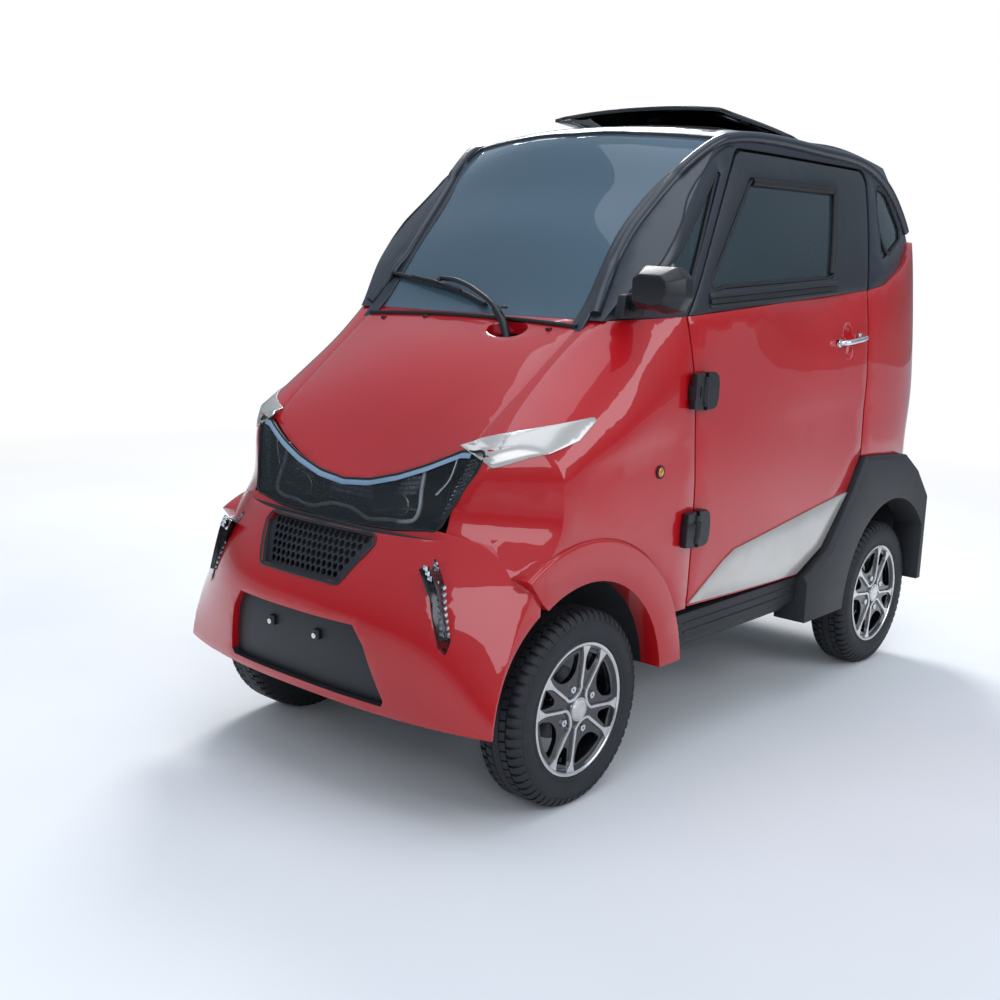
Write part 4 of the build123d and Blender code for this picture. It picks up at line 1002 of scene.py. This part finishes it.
HINGE_Y = -345
for side, hand in SIDES:
    panel = "door_panel_" + hand
    cup = side_skin([panel], 516, 1122, 0, side)
    carved(panel + "_shell", egg("cup", cup, (17, 34, 56), red_paint))
    line = [(552, 448, 1115), (571, 456, 1117), (580, 476, 1120), (584, 520, 1125), (583, 560, 1129),
            (576, 584, 1132), (552, 592, 1133)]
    grip = bar("grip", [Vector((side * x, y, z)) * MM for x, y, z in line], 0.0085, chrome, sides=12)
    pads = [turned("pad", Vector((side * 553, y, z)) * MM, [(0, 0.1), (0, 13), (5, 12), (7, 8), (7.5, 0.1)],
                   chrome, side, 32) for y, z in ((450, 1115), (590, 1133))]
    covers, body_covers = [], []
    for z in (1007, 645):
        rear_edge = [(-335, z - 46), (-304, z - 46), (-290, z - 38), (-284, z - 18), (-284, z + 18),
                     (-290, z + 38), (-304, z + 46), (-335, z + 46)]
        lay = Matrix(((0, 0, side, side * 0.5715), (1, 0, 0, 0), (0, 1, 0, 0), (0, 0, 0, 1)))
        outline = rear_edge if side > 0 else rear_edge[::-1]
        covers.append(plate("door_cover", [outline], 22, 3, satin_black, lay))
        front_edge = [(-392, z - 41), (-355, z - 46), (-355, z + 46), (-388, z + 43)]
        notch = [(-376, z - 16), (-366, z - 16), (-366, z + 16), (-376, z + 16)]
        body_covers.append(plate("body_cover", [front_edge if side > 0 else front_edge[::-1], notch], 20, 3,
                                 satin_black, lay))
        knuckle = [Vector((side * 0.580, HINGE_Y * MM, (z + d) * MM)) for d in (-38, 0, 38)]
        body_covers.append(bar("pin", knuckle, 0.0085, satin_black))
    seated(joined("door_hardware_" + hand, [grip] + pads + covers), "door_fittings_" + hand,
           "door_fittings_" + hand)
    seated(joined("hinge_covers_" + hand, body_covers), "fixed_hinges")
dressed("fixed_hinges", satin_black, 0.8)
print("door hardware made")

# %% [markdown]
# ## Mirror and wiper
# The mirror housing is one faceted moulding on a short foot; its glass looks back. The wiper has a
# pivot in an oval cup, a bent arm that gets thinner, and a blade of a spine, a rubber lip and two
# claws. Both are built as small meshes between measured points.

# %% Mirror
def lofted(name, rings, material, edge_mm=3.0):
    """A closed form through rings with equal numbers of points."""
    count = len(rings[0])
    points = [Vector(p) * MM for ring in rings for p in ring]
    faces = grid_faces(len(rings), count, True)
    faces += [tuple(range(count)), tuple(range((len(rings) - 1) * count, len(rings) * count))]
    piece = from_faces(name, points, faces, material, 30)
    return rounded(piece, edge_mm * MM, 3, 20) if edge_mm else piece


housing_face = [(516, 1216), (600, 1204), (640, 1214), (658, 1244), (655, 1290), (630, 1315), (540, 1318),
                (514, 1300)]
nose_face = [(536, 1232), (594, 1222), (622, 1230), (634, 1250), (632, 1278), (614, 1294), (552, 1296),
             (534, 1286)]
housing = lofted("housing", [
    [(x, -556, z) for x, z in housing_face], [(x, -592, z) for x, z in housing_face],
    [(x, -638, z) for x, z in nose_face]], satin_black, 5)
mirror_rim = [(x * 0.9 + 58.6, z * 0.9 + 126) for x, z in housing_face]
mirror_glass = lofted("mirror_glass", [[(x, -554, z) for x, z in mirror_rim],
                                       [(x, -552, z) for x, z in mirror_rim]], chrome, 0)
foot = bar("foot", [Vector(p) * MM for p in ((470, -560, 1216), (505, -576, 1222), (545, -596, 1232))],
           0.015, satin_black)
base = lofted("base", [[(498, -618, 1188), (498, -520, 1196), (492, -528, 1256), (492, -596, 1246)],
                       [(470, -618, 1188), (470, -520, 1196), (466, -528, 1256), (466, -596, 1246)]],
              satin_black, 5)
seated(joined("door_mirror", [housing, mirror_glass, foot, base]), "side_mirror", "side_mirror")

# %% Wiper
pivot = Vector((176, -668, 1112))
arm_line = [(176, -668, 1122), (150, -655, 1162), (110, -640, 1196), (20, -612, 1236), (-80, -584, 1262),
            (-160, -566, 1268)]
arm = bar("arm", [Vector(p) * MM for p in arm_line], 0.0065, satin_black)
sleeve = bar("sleeve", [Vector(p) * MM for p in arm_line[:3]], 0.011, satin_black)
cup_rings = [[(pivot.x + 60 * s * cos(tau * k / 32), pivot.y + 34 * s * sin(tau * k / 32),
               pivot.z + h + 0.33 * (34 * s * sin(tau * k / 32))) for k in range(32)]
             for s, h in ((0.99, 4), (0.94, 6), (0.9, 0), (0.82, -14), (0.3, -18))]
cup = lofted("cup", cup_rings, moulded_black, 0)
cap = lofted("cap", [[(pivot.x + r * cos(tau * k / 24), pivot.y + r * sin(tau * k / 24), pivot.z + h)
                      for k in range(24)]
                     for r, h in ((17, -16), (17, 6), (13, 14), (5, 17))], satin_black, 1.5)
blade_line = [landed(["windscreen", "cabin_frame"], p, (0, 1, -0.3), 16) for p in
              [(-372, -560, 1281), (-270, -575, 1268), (-167, -588, 1254), (-60, -600, 1236),
               (39, -608, 1206)]]
spine = bar("spine", blade_line, 0.006, satin_black)
lip = bar("lip", [p - Vector((0, -0.009, 0.003)) for p in blade_line], 0.003, rubber_seal)
claws = [bar("claw", [blade_line[k] + Vector((0, -0.010, 0.006)),
                      blade_line[2] + Vector((0, -0.014, 0.01))], 0.004, satin_black) for k in (1, 3)]
link_arm = bar("link", [Vector(arm_line[-1]) * MM, blade_line[2] + Vector((0, -0.010, 0.006))], 0.007,
               satin_black)
seated(joined("wiper_assembly", [arm, sleeve, cup, cap, spine, lip, link_arm] + claws), "wiper", "wiper")
print("mirror and wiper made")

# %% [markdown]
# ## Nose and hood details
# The grille sits behind a thin black frame. The number-plate recess is bare but for two clips with
# a screw head each. Two rubber plugs close holes in the hood near the windscreen, and a dark
# rubber strip closes the gap under the glass.

# %% Nose and hood details
grille_corners = [(-184, 670), (184, 670), (193, 650), (139, 558), (-139, 558), (-193, 650)]
frame_points = [landed(["front_bumper"], (x * 1.02, -1150, 614 + (z - 614) * 1.03), (0, 1, 0), 0)
                for x, z in straight_loop(grille_corners, 9, 40)]
seated(bar("grille_frame", frame_points, 0.0045, satin_black, closed=True, sides=8), "front_bumper")
grille = middle("front_grille")
seated(slab("grille_backing", (-0.200, grille.y + 0.035, 0.548), (0.200, grille.y + 0.040, 0.680),
            moulded_black, 0.001, 2), "front_bumper")


def upright(x, y, z, facing=-1):
    """A matrix that stands a flat drawing upright; its front looks to the nose, or to the tail for 1."""
    return Matrix(((-facing, 0, 0, x), (0, 0, facing, y), (0, 1, 0, z), (0, 0, 0, 1)))


def screw(place):
    """A small round screw head with a six-sided socket."""
    return plate("screw", [round_outline((0, 0), 6, 20), round_outline((0, 0), 2.4, 6)], 7, 1, chrome, place)


clips = []
for x in (-83, 83):
    seat = landed(["plate_carrier"], (x, -1200, 432), (0, 1, 0), 0)
    clips.append(slab("clip", seat + Vector((-0.010, -0.010, -0.020)), seat + Vector((0.010, 0.004, 0.004)),
                      satin_black, 0.002))
    clips.append(screw(upright(seat.x, seat.y - 0.013, seat.z - 0.010)))
seated(joined("plate_clips", clips), "plate_carrier")
plugs = []
for x, y in ((-141, -642), (141, -642), (298, -649), (-298, -649)):
    top = landed(["hood_panel"], (x, y, 1200), (0, 0, -1), 0)
    rings = [[(top.x * 1000 + r * cos(tau * k / 20), top.y * 1000 + r * sin(tau * k / 20),
               top.z * 1000 + h) for k in range(20)] for r, h in ((9, -3), (9, 2), (6, 4), (2, 4.5))]
    plugs.append(lofted("plug", rings, rubber_seal, 0))
seated(joined("hood_plugs", plugs), "hood_panel")
scuttle = [landed(["hood_panel", "cabin_frame", "windscreen"], (x, -632, 1300), (0, 0, -1), 2)
           for x in range(-372, 373, 31)]
seated(bar("scuttle_rubber", scuttle, 0.007, rubber_seal), "hood_panel")
print("nose details made")

# %% [markdown]
# ## Shut lines, sills, roof and tail
# Behind every shut line lies a rubber seal that keeps light and rain out. The sill has two long
# ribs. The hatch is a smoked acrylic sheet in a black rim, hinged at its rear edge and left ajar as
# in the photograph. The tail is not in the photograph, so its trim is plain.

# %% Seals, sill ribs and hatch rim
door_loop = [(-392, 1197), (-350, 1000), (-333, 771), (-329, 440), (60, 424), (300, 424), (443, 480),
             (588, 650), (658, 756), (662, 1000), (646, 1277), (708, 1640), (-70, 1636)]
for side, hand in SIDES:
    seal_nodes = ["fenders", "cabin_frame", "quarter_panels", "door_panel_" + hand, "door_frame_" + hand,
                  "rear_flares", "sills", "door_silver_" + hand]
    line = straight_loop(door_loop, 20, 45)
    points = []
    for y, z in line:
        found = side_skin(seal_nodes, y, z, 0, side)
        if found and abs(found.x) > 0.40:
            points.append(found - Vector((side * 0.024, 0, 0)))
    seated(bar("door_seal_" + hand, points, 0.0075, rubber_seal, closed=True, sides=8), "cabin_frame")
    ribs = [side_bar("rib", [(y, z) for y in range(-440, 281, 60)], side, 3.2, ["sills"], 0, moulded_black)
            for z in (352, 376)]
    seated(joined("sill_ribs_" + hand, ribs), "sills")
dressed("roof_hatch", smoked_pane, 1.2)
rim_line = straight_loop([(-296, 92), (296, 92), (296, 552), (-296, 552)], 14, 50)
rim_points = [landed(["roof_hatch"], (x, y, 1900), (0, 0, -1), -3) for x, y in rim_line]
seated(bar("hatch_rim", rim_points, 0.006, satin_black, closed=True, sides=8), "roof_hatch")
opening = [landed(["roof_panel"], (p[0], p[1], 1900), (0, 0, -1), 1) for p in
           straight_loop([(-284, 104), (284, 104), (284, 540), (-284, 540)], 16, 50)]
seated(bar("hatch_opening_seal", opening, 0.006, rubber_seal, closed=True, sides=8), "roof_panel")
struts = []
for x in (-262, 262):
    top = landed(["roof_hatch"], (x, 120, 1900), (0, 0, -1), -6)
    struts.append(bar("stay", [top + Vector((0, 0.0, 0)), top + Vector((0, 0.10, -0.010)),
                               top + Vector((0, 0.19, -0.008))], 0.004, chrome))
seated(joined("hatch_stays", struts), "roof_hatch")
back_glass = [(-322, 1214), (-340, 1240), (-310, 1586), (-286, 1598), (286, 1598), (310, 1586), (340, 1240),
              (322, 1214)]
rubber_points = [landed(["rear_window"], (p[0], 1300, p[1]), (0, -1, 0), 4)
                 for p in straight_loop(back_glass, 8, 50)]
seated(bar("rear_window_rubber", rubber_points, 0.0065, rubber_seal, closed=True, sides=8), "rear_window")
handle = draped("tail_handle", between([(x, 1300, 1140) for x in range(-90, 91, 20)],
                                       [(x, 1300, 1108) for x in range(-90, 91, 20)], 4), (0, -1, 0),
                ["tailgate_panel"], 9, 12, satin_black, 3)
seated(handle, "tailgate_panel")
rear_clips = []
for x in (-83, 83):
    seat = landed(["rear_bumper"], (x, 1300, 575), (0, -1, 0), 0)
    rear_clips.append(screw(upright(seat.x, seat.y + 0.002, seat.z - 0.015, 1)))
seated(joined("rear_plate_screws", rear_clips), "rear_bumper")
print("seals and tail made")

# %% [markdown]
# ## Cabin
# Two front seats, a small bench behind them, a dashboard with a driver's pod, and a steering wheel.
# The cushions are padded cloth: each plain cushion is remeshed, blown up a little by a cloth
# simulation while its base is held, and then gets its piping. All of it stays inside the room that
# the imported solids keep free.

# %% Cushions by cloth simulation
def cushion(name, low, high, held, material, swell_mm):
    """A padded block between two corners in metres; held tells which points don't move."""
    piece = slab(name, low, high, material, 0.03, 4)
    mesher = piece.modifiers.new("grid", "REMESH")
    mesher.mode, mesher.voxel_size = "VOXEL", 0.011
    piece = baked(piece)
    rest = [v.co.copy() for v in piece.data.vertices]
    pins = piece.vertex_groups.new(name="held")
    pins.add([v.index for v in piece.data.vertices if held(v.co)], 1.0, "REPLACE")
    cloth = piece.modifiers.new("pad", "CLOTH")
    cloth.settings.quality = 4
    cloth.settings.mass = 0.3
    cloth.settings.use_pressure = True
    cloth.settings.uniform_pressure_force = 4.0
    cloth.settings.effector_weights.gravity = 0
    cloth.settings.vertex_group_mass = "held"
    cloth.point_cache.frame_start, cloth.point_cache.frame_end = 1, 20
    for moment in range(1, 21):
        bpy.context.scene.frame_set(moment)
    piece = baked(piece)
    bpy.context.scene.frame_set(1)
    for vertex, old in zip(piece.data.vertices, rest):
        move = vertex.co - old
        if move.length > swell_mm * MM:
            vertex.co = old + move.normalized() * swell_mm * MM
    softer = piece.modifiers.new("even", "SMOOTH")
    softer.iterations, softer.factor = 6, 0.5
    piece = smooth(baked(piece), 60)
    piece.data.materials.clear()
    piece.data.materials.append(material)
    return piece


def laid_on(pad, spots, axis):
    """Points of a pad's surface that lie under some spots, seen along an axis."""
    work = bmesh.new()
    work.from_mesh(pad.data)
    tree = BVHTree.FromBMesh(work)
    work.free()
    found = [tree.ray_cast(Vector(spot) + Vector(axis) * 0.6, -Vector(axis))[0] for spot in spots]
    return [p for p in found if p]


def piping(name, pad, corners, axis):
    """A thin round seam that lies on a pad along a closed outline seen along one axis."""
    spots = [Vector(corner).lerp(Vector(corners[(k + 1) % len(corners)]), step / 6)
             for k, corner in enumerate(corners) for step in range(6)]
    return bar(name, laid_on(pad, spots, axis), 0.0026, seat_side, closed=True, sides=8)


print("cushion helpers ready")

# %% Front seats
pads = []
for side, hand in SIDES:
    x0, x1 = sorted((side * 0.032, side * 0.440))
    seat = cushion("seat_cushion_" + hand, Vector((x0, -0.052, 0.428)), Vector((x1, 0.388, 0.548)),
                   lambda p: p.z < 0.455, seat_cloth, 16)
    back = cushion("seat_back_" + hand, Vector((x0 + 0.01, 0.408, 0.445)),
                   Vector((x1 - 0.01, 0.490, 0.900)), lambda p: p.y > 0.470, seat_cloth, 14)
    head = cushion("seat_headrest_" + hand, Vector((x0 + 0.08, 0.412, 0.925)),
                   Vector((x1 - 0.08, 0.486, 1.068)), lambda p: p.y > 0.470, seat_cloth, 12)
    pads += [seat, back, head]
    ax, bx = x0 + 0.075, x1 - 0.075
    seat_seam = [(ax, 0.0, 0.5), (bx, 0.0, 0.5), (bx, 0.33, 0.5), (ax, 0.33, 0.5)]
    back_seam = [(ax, 0.4, 0.52), (bx, 0.4, 0.52), (bx - 0.02, 0.4, 0.84), (ax + 0.02, 0.4, 0.84)]
    lines = [piping("piping", seat, seat_seam, (0, 0, 1)), piping("piping", back, back_seam, (0, -1, 0))]
    for z in (0.60, 0.68, 0.76):
        spots = [(x, 0.4, z) for x in (ax, (ax + bx) / 2, bx)]
        lines.append(bar("channel", laid_on(back, spots, (0, -1, 0)), 0.0022, seat_side, sides=8))
    shell = slab("seat_shell", (x0 + 0.03, 0.482, 0.440), (x1 - 0.03, 0.500, 1.02), seat_side, 0.008, 3)
    tray = slab("seat_tray", (x0 + 0.02, -0.04, 0.415), (x1 - 0.02, 0.40, 0.446), seat_side, 0.008, 3)
    foot = slab("seat_box", (x0 + 0.04, 0.0, 0.296), (x1 - 0.04, 0.358, 0.417), moulded_black, 0.006, 3)
    stems = [bar("stem", [Vector((s, 0.452, 0.88)), Vector((s, 0.450, 0.95))], 0.006, chrome)
             for s in (x0 + 0.14, x1 - 0.14)]
    seated(joined("seat_frame_" + hand, [shell, tray, foot] + stems + lines), "front_seats")
    seated(seat, "front_seats", *(["front_seats"] if side > 0 else []))
    seated(back, "front_seats")
    seated(head, "front_seats")
print("front seats made")

# %% Bench
bench = cushion("bench_cushion", Vector((-0.390, 0.596, 0.476)), Vector((0.390, 0.900, 0.590)),
                lambda p: p.z < 0.5, seat_cloth, 16)
bench_back = cushion("bench_back", Vector((-0.390, 0.938, 0.476)), Vector((0.390, 1.010, 1.030)),
                     lambda p: p.y > 0.99, seat_cloth, 12)
pads += [bench, bench_back]
halves = ((-0.33, -0.03), (0.03, 0.33))
bench_lines = [piping("piping", bench, [(a, 0.64, 0.5), (b, 0.64, 0.5), (b, 0.86, 0.5), (a, 0.86, 0.5)],
                      (0, 0, 1)) for a, b in halves]
bench_lines += [piping("piping", bench_back, [(a, 0.9, 0.56), (b, 0.9, 0.56), (b, 0.9, 0.95), (a, 0.9, 0.95)],
                       (0, -1, 0)) for a, b in halves]
board = slab("bench_board", (-0.385, 0.60, 0.470), (0.385, 1.018, 0.488), seat_side, 0.004, 2)
panel = slab("bench_panel", (-0.385, 1.004, 0.48), (0.385, 1.019, 1.03), seat_side, 0.005, 2)
seated(joined("bench_frame", [board, panel] + bench_lines), "rear_bench")
seated(bench, "rear_bench", "rear_bench")
seated(bench_back, "rear_bench")
print("bench made")

# %% [markdown]
# ## Steering wheel and dashboard
# The wheel is a grained rim on three flat spokes that meet a soft hub; it is set out flat and then
# tilted to its column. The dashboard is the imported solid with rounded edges, and carries a hooded
# instrument pod, a row of vents cut as slats, a centre screen, and the line of a glove box.

# %% Steering wheel
wheel_centre, column_foot = Vector((0.236, -0.290, 0.975)), Vector((0.236, -0.600, 0.780))
axis = (wheel_centre - column_foot).normalized()
across = Vector((1, 0, 0))
rise = axis.cross(across).normalized()


def on_wheel(radius_mm, degrees, lift_mm=0.0):
    """A point of the wheel's own plane; 90 degrees is towards the roof."""
    turn = radians(degrees)
    return wheel_centre + (across * cos(turn) + rise * sin(turn)) * radius_mm * MM + axis * lift_mm * MM


parts = [bar("rim", [on_wheel(178, 15 * k) for k in range(24)], 0.0142, seat_side, closed=True, sides=16)]
for degrees in (90, 210, 330):
    wide = 15 if degrees != 90 else 20
    spokes = [on_wheel(36, degrees - 20, -4), on_wheel(36, degrees + 20, -4),
              on_wheel(170, degrees + wide / 3.2, -2), on_wheel(170, degrees - wide / 3.2, -2)]
    lower = [p - axis * 0.012 for p in spokes]
    parts.append(rounded(from_faces("spoke", spokes + lower,
                                    [(0, 1, 2, 3), (7, 6, 5, 4), (0, 4, 5, 1), (1, 5, 6, 2), (2, 6, 7, 3),
                                     (3, 7, 4, 0)], satin_black), 0.003, 3))
hub_profile = ((40, -26), (50, -14), (52, 0), (46, 8), (30, 13), (8, 15))
hub_rings = [[on_wheel(r, 10 * k, h) / MM for k in range(36)] for r, h in hub_profile]
parts.append(lofted("hub", hub_rings, seat_side, 0))
parts.append(bar("hub_ring", [on_wheel(36, 15 * k, 11) for k in range(24)], 0.0014, chrome, closed=True,
                 sides=8))
seated(joined("steering_wheel_rim", parts), "steering_wheel", "steering_wheel")

# %% Dashboard
deck = []


def dash_top(x, y):
    return strike(["dashboard"], (x * MM, y * MM, 1.4), (0, 0, -1))[0]


def dash_face(x, z):
    return strike(["dashboard"], (x * MM, 0.0, z * MM), (0, -1, 0))[0]


hood_spots = [dash_top(x, -486) for x in (120, 180, 236, 292, 352)]
hood_line = [p + Vector((0, 0.0, lift * MM)) for p, lift in zip(hood_spots, (2, 20, 27, 20, 2))]
deck.append(bar("pod_hood", hood_line, 0.007, dash_plastic))
face = dash_face(236, 1080)
deck.append(slab("pod_screen", (0.160, face.y - 0.004, 1.045), (0.312, face.y + 0.006, 1.108), roof_paint,
                 0.004, 3))
face = dash_face(0, 1040)
deck.append(slab("centre_screen", (-0.105, face.y - 0.004, 0.975), (0.105, face.y + 0.008, 1.092),
                 roof_paint, 0.006, 3))
slat = slab("slat", (-0.052, -0.006, -0.0015), (0.052, 0.004, 0.0015), satin_black, 0.001, 2)
for x in (-390, -190, 390):
    face = dash_face(x, 1050)
    deck.append(slab("vent_well", (x * MM - 0.060, face.y - 0.004, 1.022),
                     (x * MM + 0.060, face.y + 0.003, 1.080), moulded_black, 0.006, 3))
    deck.append(repeated("slats", row_of_copies, slat, 5, (x * MM, face.y + 0.005, 1.031), (0, 0, 0.010),
                         satin_black))
bpy.data.objects.remove(slat)
for x, z in ((-45, 930), (0, 930), (45, 930)):
    face = dash_face(x, z)
    deck.append(plate("knob", [round_outline((0, 0), 15, 32)], 14, 2, satin_black,
                      upright(face.x, face.y + 0.004, face.z)))
box_loop = [(-430, 960), (-150, 960), (-150, 850), (-430, 850)]
groove_points = [dash_face(p[0], p[1]) + Vector((0, 0.0006, 0)) for p in straight_loop(box_loop, 12, 40)]
deck.append(bar("glove_box_line", groove_points, 0.0022, rubber_seal, closed=True, sides=8))
seated(joined("dashboard_fittings", deck), "dashboard")
print("steering wheel and dashboard made")

# %% [markdown]
# ## Floor, light and camera
# The floor is a pale studio sweep. Large soft lamps light the car from above and behind its right
# side, as the sun did, so the shadow falls to the front left. The world is white to the camera,
# and in reflections it is a plain sky that is brighter overhead and darker at the horizon.

# %% Floor and light
def area_light(name, place, target, size, power, tint="#FFFFFF"):
    lamp = bpy.data.lights.new(name, "AREA")
    lamp.shape, lamp.energy, lamp.color = "RECTANGLE", power, colour(tint)[:3]
    lamp.size, lamp.size_y = size
    holder = bpy.data.objects.new(name, lamp)
    holder.location = place
    holder.rotation_euler = (Vector(target) - Vector(place)).to_track_quat("-Z", "Y").to_euler()
    bpy.context.scene.collection.objects.link(holder)


floor_finish = finish("pale_studio_floor", "#E6E6E6", 0.8, "#EDEDED", 1500, 6, 0.03)
tree = floor_finish.node_tree
place = add_node(tree, "ShaderNodeTexCoord")
away = add_node(tree, "ShaderNodeVectorMath", {0: (place, "Object")}, operation="LENGTH")
fade = add_node(tree, "ShaderNodeMapRange", {"Value": (away, "Value"), "From Min": 2.2, "From Max": 6.5})
sight = add_node(tree, "ShaderNodeLightPath")
share = add_node(tree, "ShaderNodeMath", {0: (fade, "Result"), 1: (sight, "Is Camera Ray")},
                 operation="MULTIPLY")
paper = add_node(tree, "ShaderNodeEmission", {"Color": colour("#FFFFFF")})
mix = add_node(tree, "ShaderNodeMixShader", {
    0: (share, "Value"), 1: (tree.nodes["Principled BSDF"], "BSDF"), 2: (paper, "Emission")})
tree.links.new(mix.outputs["Shader"], tree.nodes["Material Output"].inputs["Surface"])
floor = from_faces("studio_floor", [(-30, -30, 0), (30, -30, 0), (30, 30, 0), (-30, 30, 0)], [(0, 1, 2, 3)],
                   floor_finish)
area_light("sun_side_softbox", (-3.4, 3.6, 5.2), (0, 0.1, 0.5), (2.2, 2.2), 300)
area_light("front_softbox", (3.6, -5.4, 3.4), (0, -0.3, 0.8), (4.0, 2.4), 95, "#F2F6FF")
area_light("left_softbox", (5.6, 0.6, 3.2), (0, 0.2, 0.9), (4.5, 2.4), 105, "#F2F6FF")
area_light("overhead_softbox", (0.4, -0.8, 5.4), (0, 0, 0.9), (4.5, 4.5), 95, "#EAF2FF")

world = bpy.data.worlds.new("plain_sky")
world.use_nodes = True
tree = world.node_tree
tree.nodes.clear()
where = add_node(tree, "ShaderNodeTexCoord")
height = add_node(tree, "ShaderNodeSeparateXYZ", {"Vector": (where, "Generated")})
sky = add_node(tree, "ShaderNodeValToRGB", {"Fac": (height, "Z")})
for k, (position, tint) in enumerate(((0.0, "#8A8C90"), (0.04, "#6E7478"), (0.22, "#A4B1BC"),
                                      (0.55, "#C9D8E8"), (1.0, "#DCE7F4"))):
    mark = sky.color_ramp.elements[k] if k < 2 else sky.color_ramp.elements.new(position)
    mark.position, mark.color = position, colour(tint)
path = add_node(tree, "ShaderNodeLightPath")
seen = add_node(tree, "ShaderNodeBackground", {"Color": colour("#FFFFFF"), "Strength": 1.0})
felt = add_node(tree, "ShaderNodeBackground", {"Color": (sky, "Color"), "Strength": 0.75})
choice = add_node(tree, "ShaderNodeMixShader", {
    0: (path, "Is Camera Ray"), 1: (felt, "Background"), 2: (seen, "Background")})
add_node(tree, "ShaderNodeOutputWorld", {"Surface": (choice, "Shader")})
bpy.context.scene.world = world
bpy.context.scene.view_settings.view_transform = "Standard"

# %% Camera from the photograph
camera_place = Vector((2.2324, -3.0651, 1.2830))
yaw, pitch_down, roll = 0.7095, 0.1824, 0.0380
forward = Vector((-sin(yaw) * cos(pitch_down), cos(yaw) * cos(pitch_down), -sin(pitch_down)))
level_right = forward.cross(Vector((0, 0, 1))).normalized()
level_up = level_right.cross(forward)
right = cos(roll) * level_right + sin(roll) * level_up
up = cos(roll) * level_up - sin(roll) * level_right
lens = bpy.data.cameras.new("photo_camera")
lens.sensor_width, lens.lens, lens.clip_end = 36, 36 * 1222 / 1000, 60
camera = bpy.data.objects.new("photo_camera", lens)
camera.matrix_world = Matrix(((right.x, up.x, -forward.x, camera_place.x),
                              (right.y, up.y, -forward.y, camera_place.y),
                              (right.z, up.z, -forward.z, camera_place.z), (0, 0, 0, 1)))
bpy.context.scene.collection.objects.link(camera)
bpy.context.scene.camera = camera

# %% [markdown]
# ## Back to the frame
# Every piece, lamp and the camera goes over by off_centre, so that all of them stand in the packed
# frame.

# %% Moving back to the frame
packed = set(nodes.values())
moved_meshes = set()
for piece in bpy.context.scene.objects:
    if piece in packed:
        continue
    if piece.type == "MESH" and piece.data not in moved_meshes:
        piece.data.transform(Matrix.Translation(off_centre))
        moved_meshes.add(piece.data)
    elif piece.type in ("LIGHT", "CAMERA"):
        piece.location += off_centre
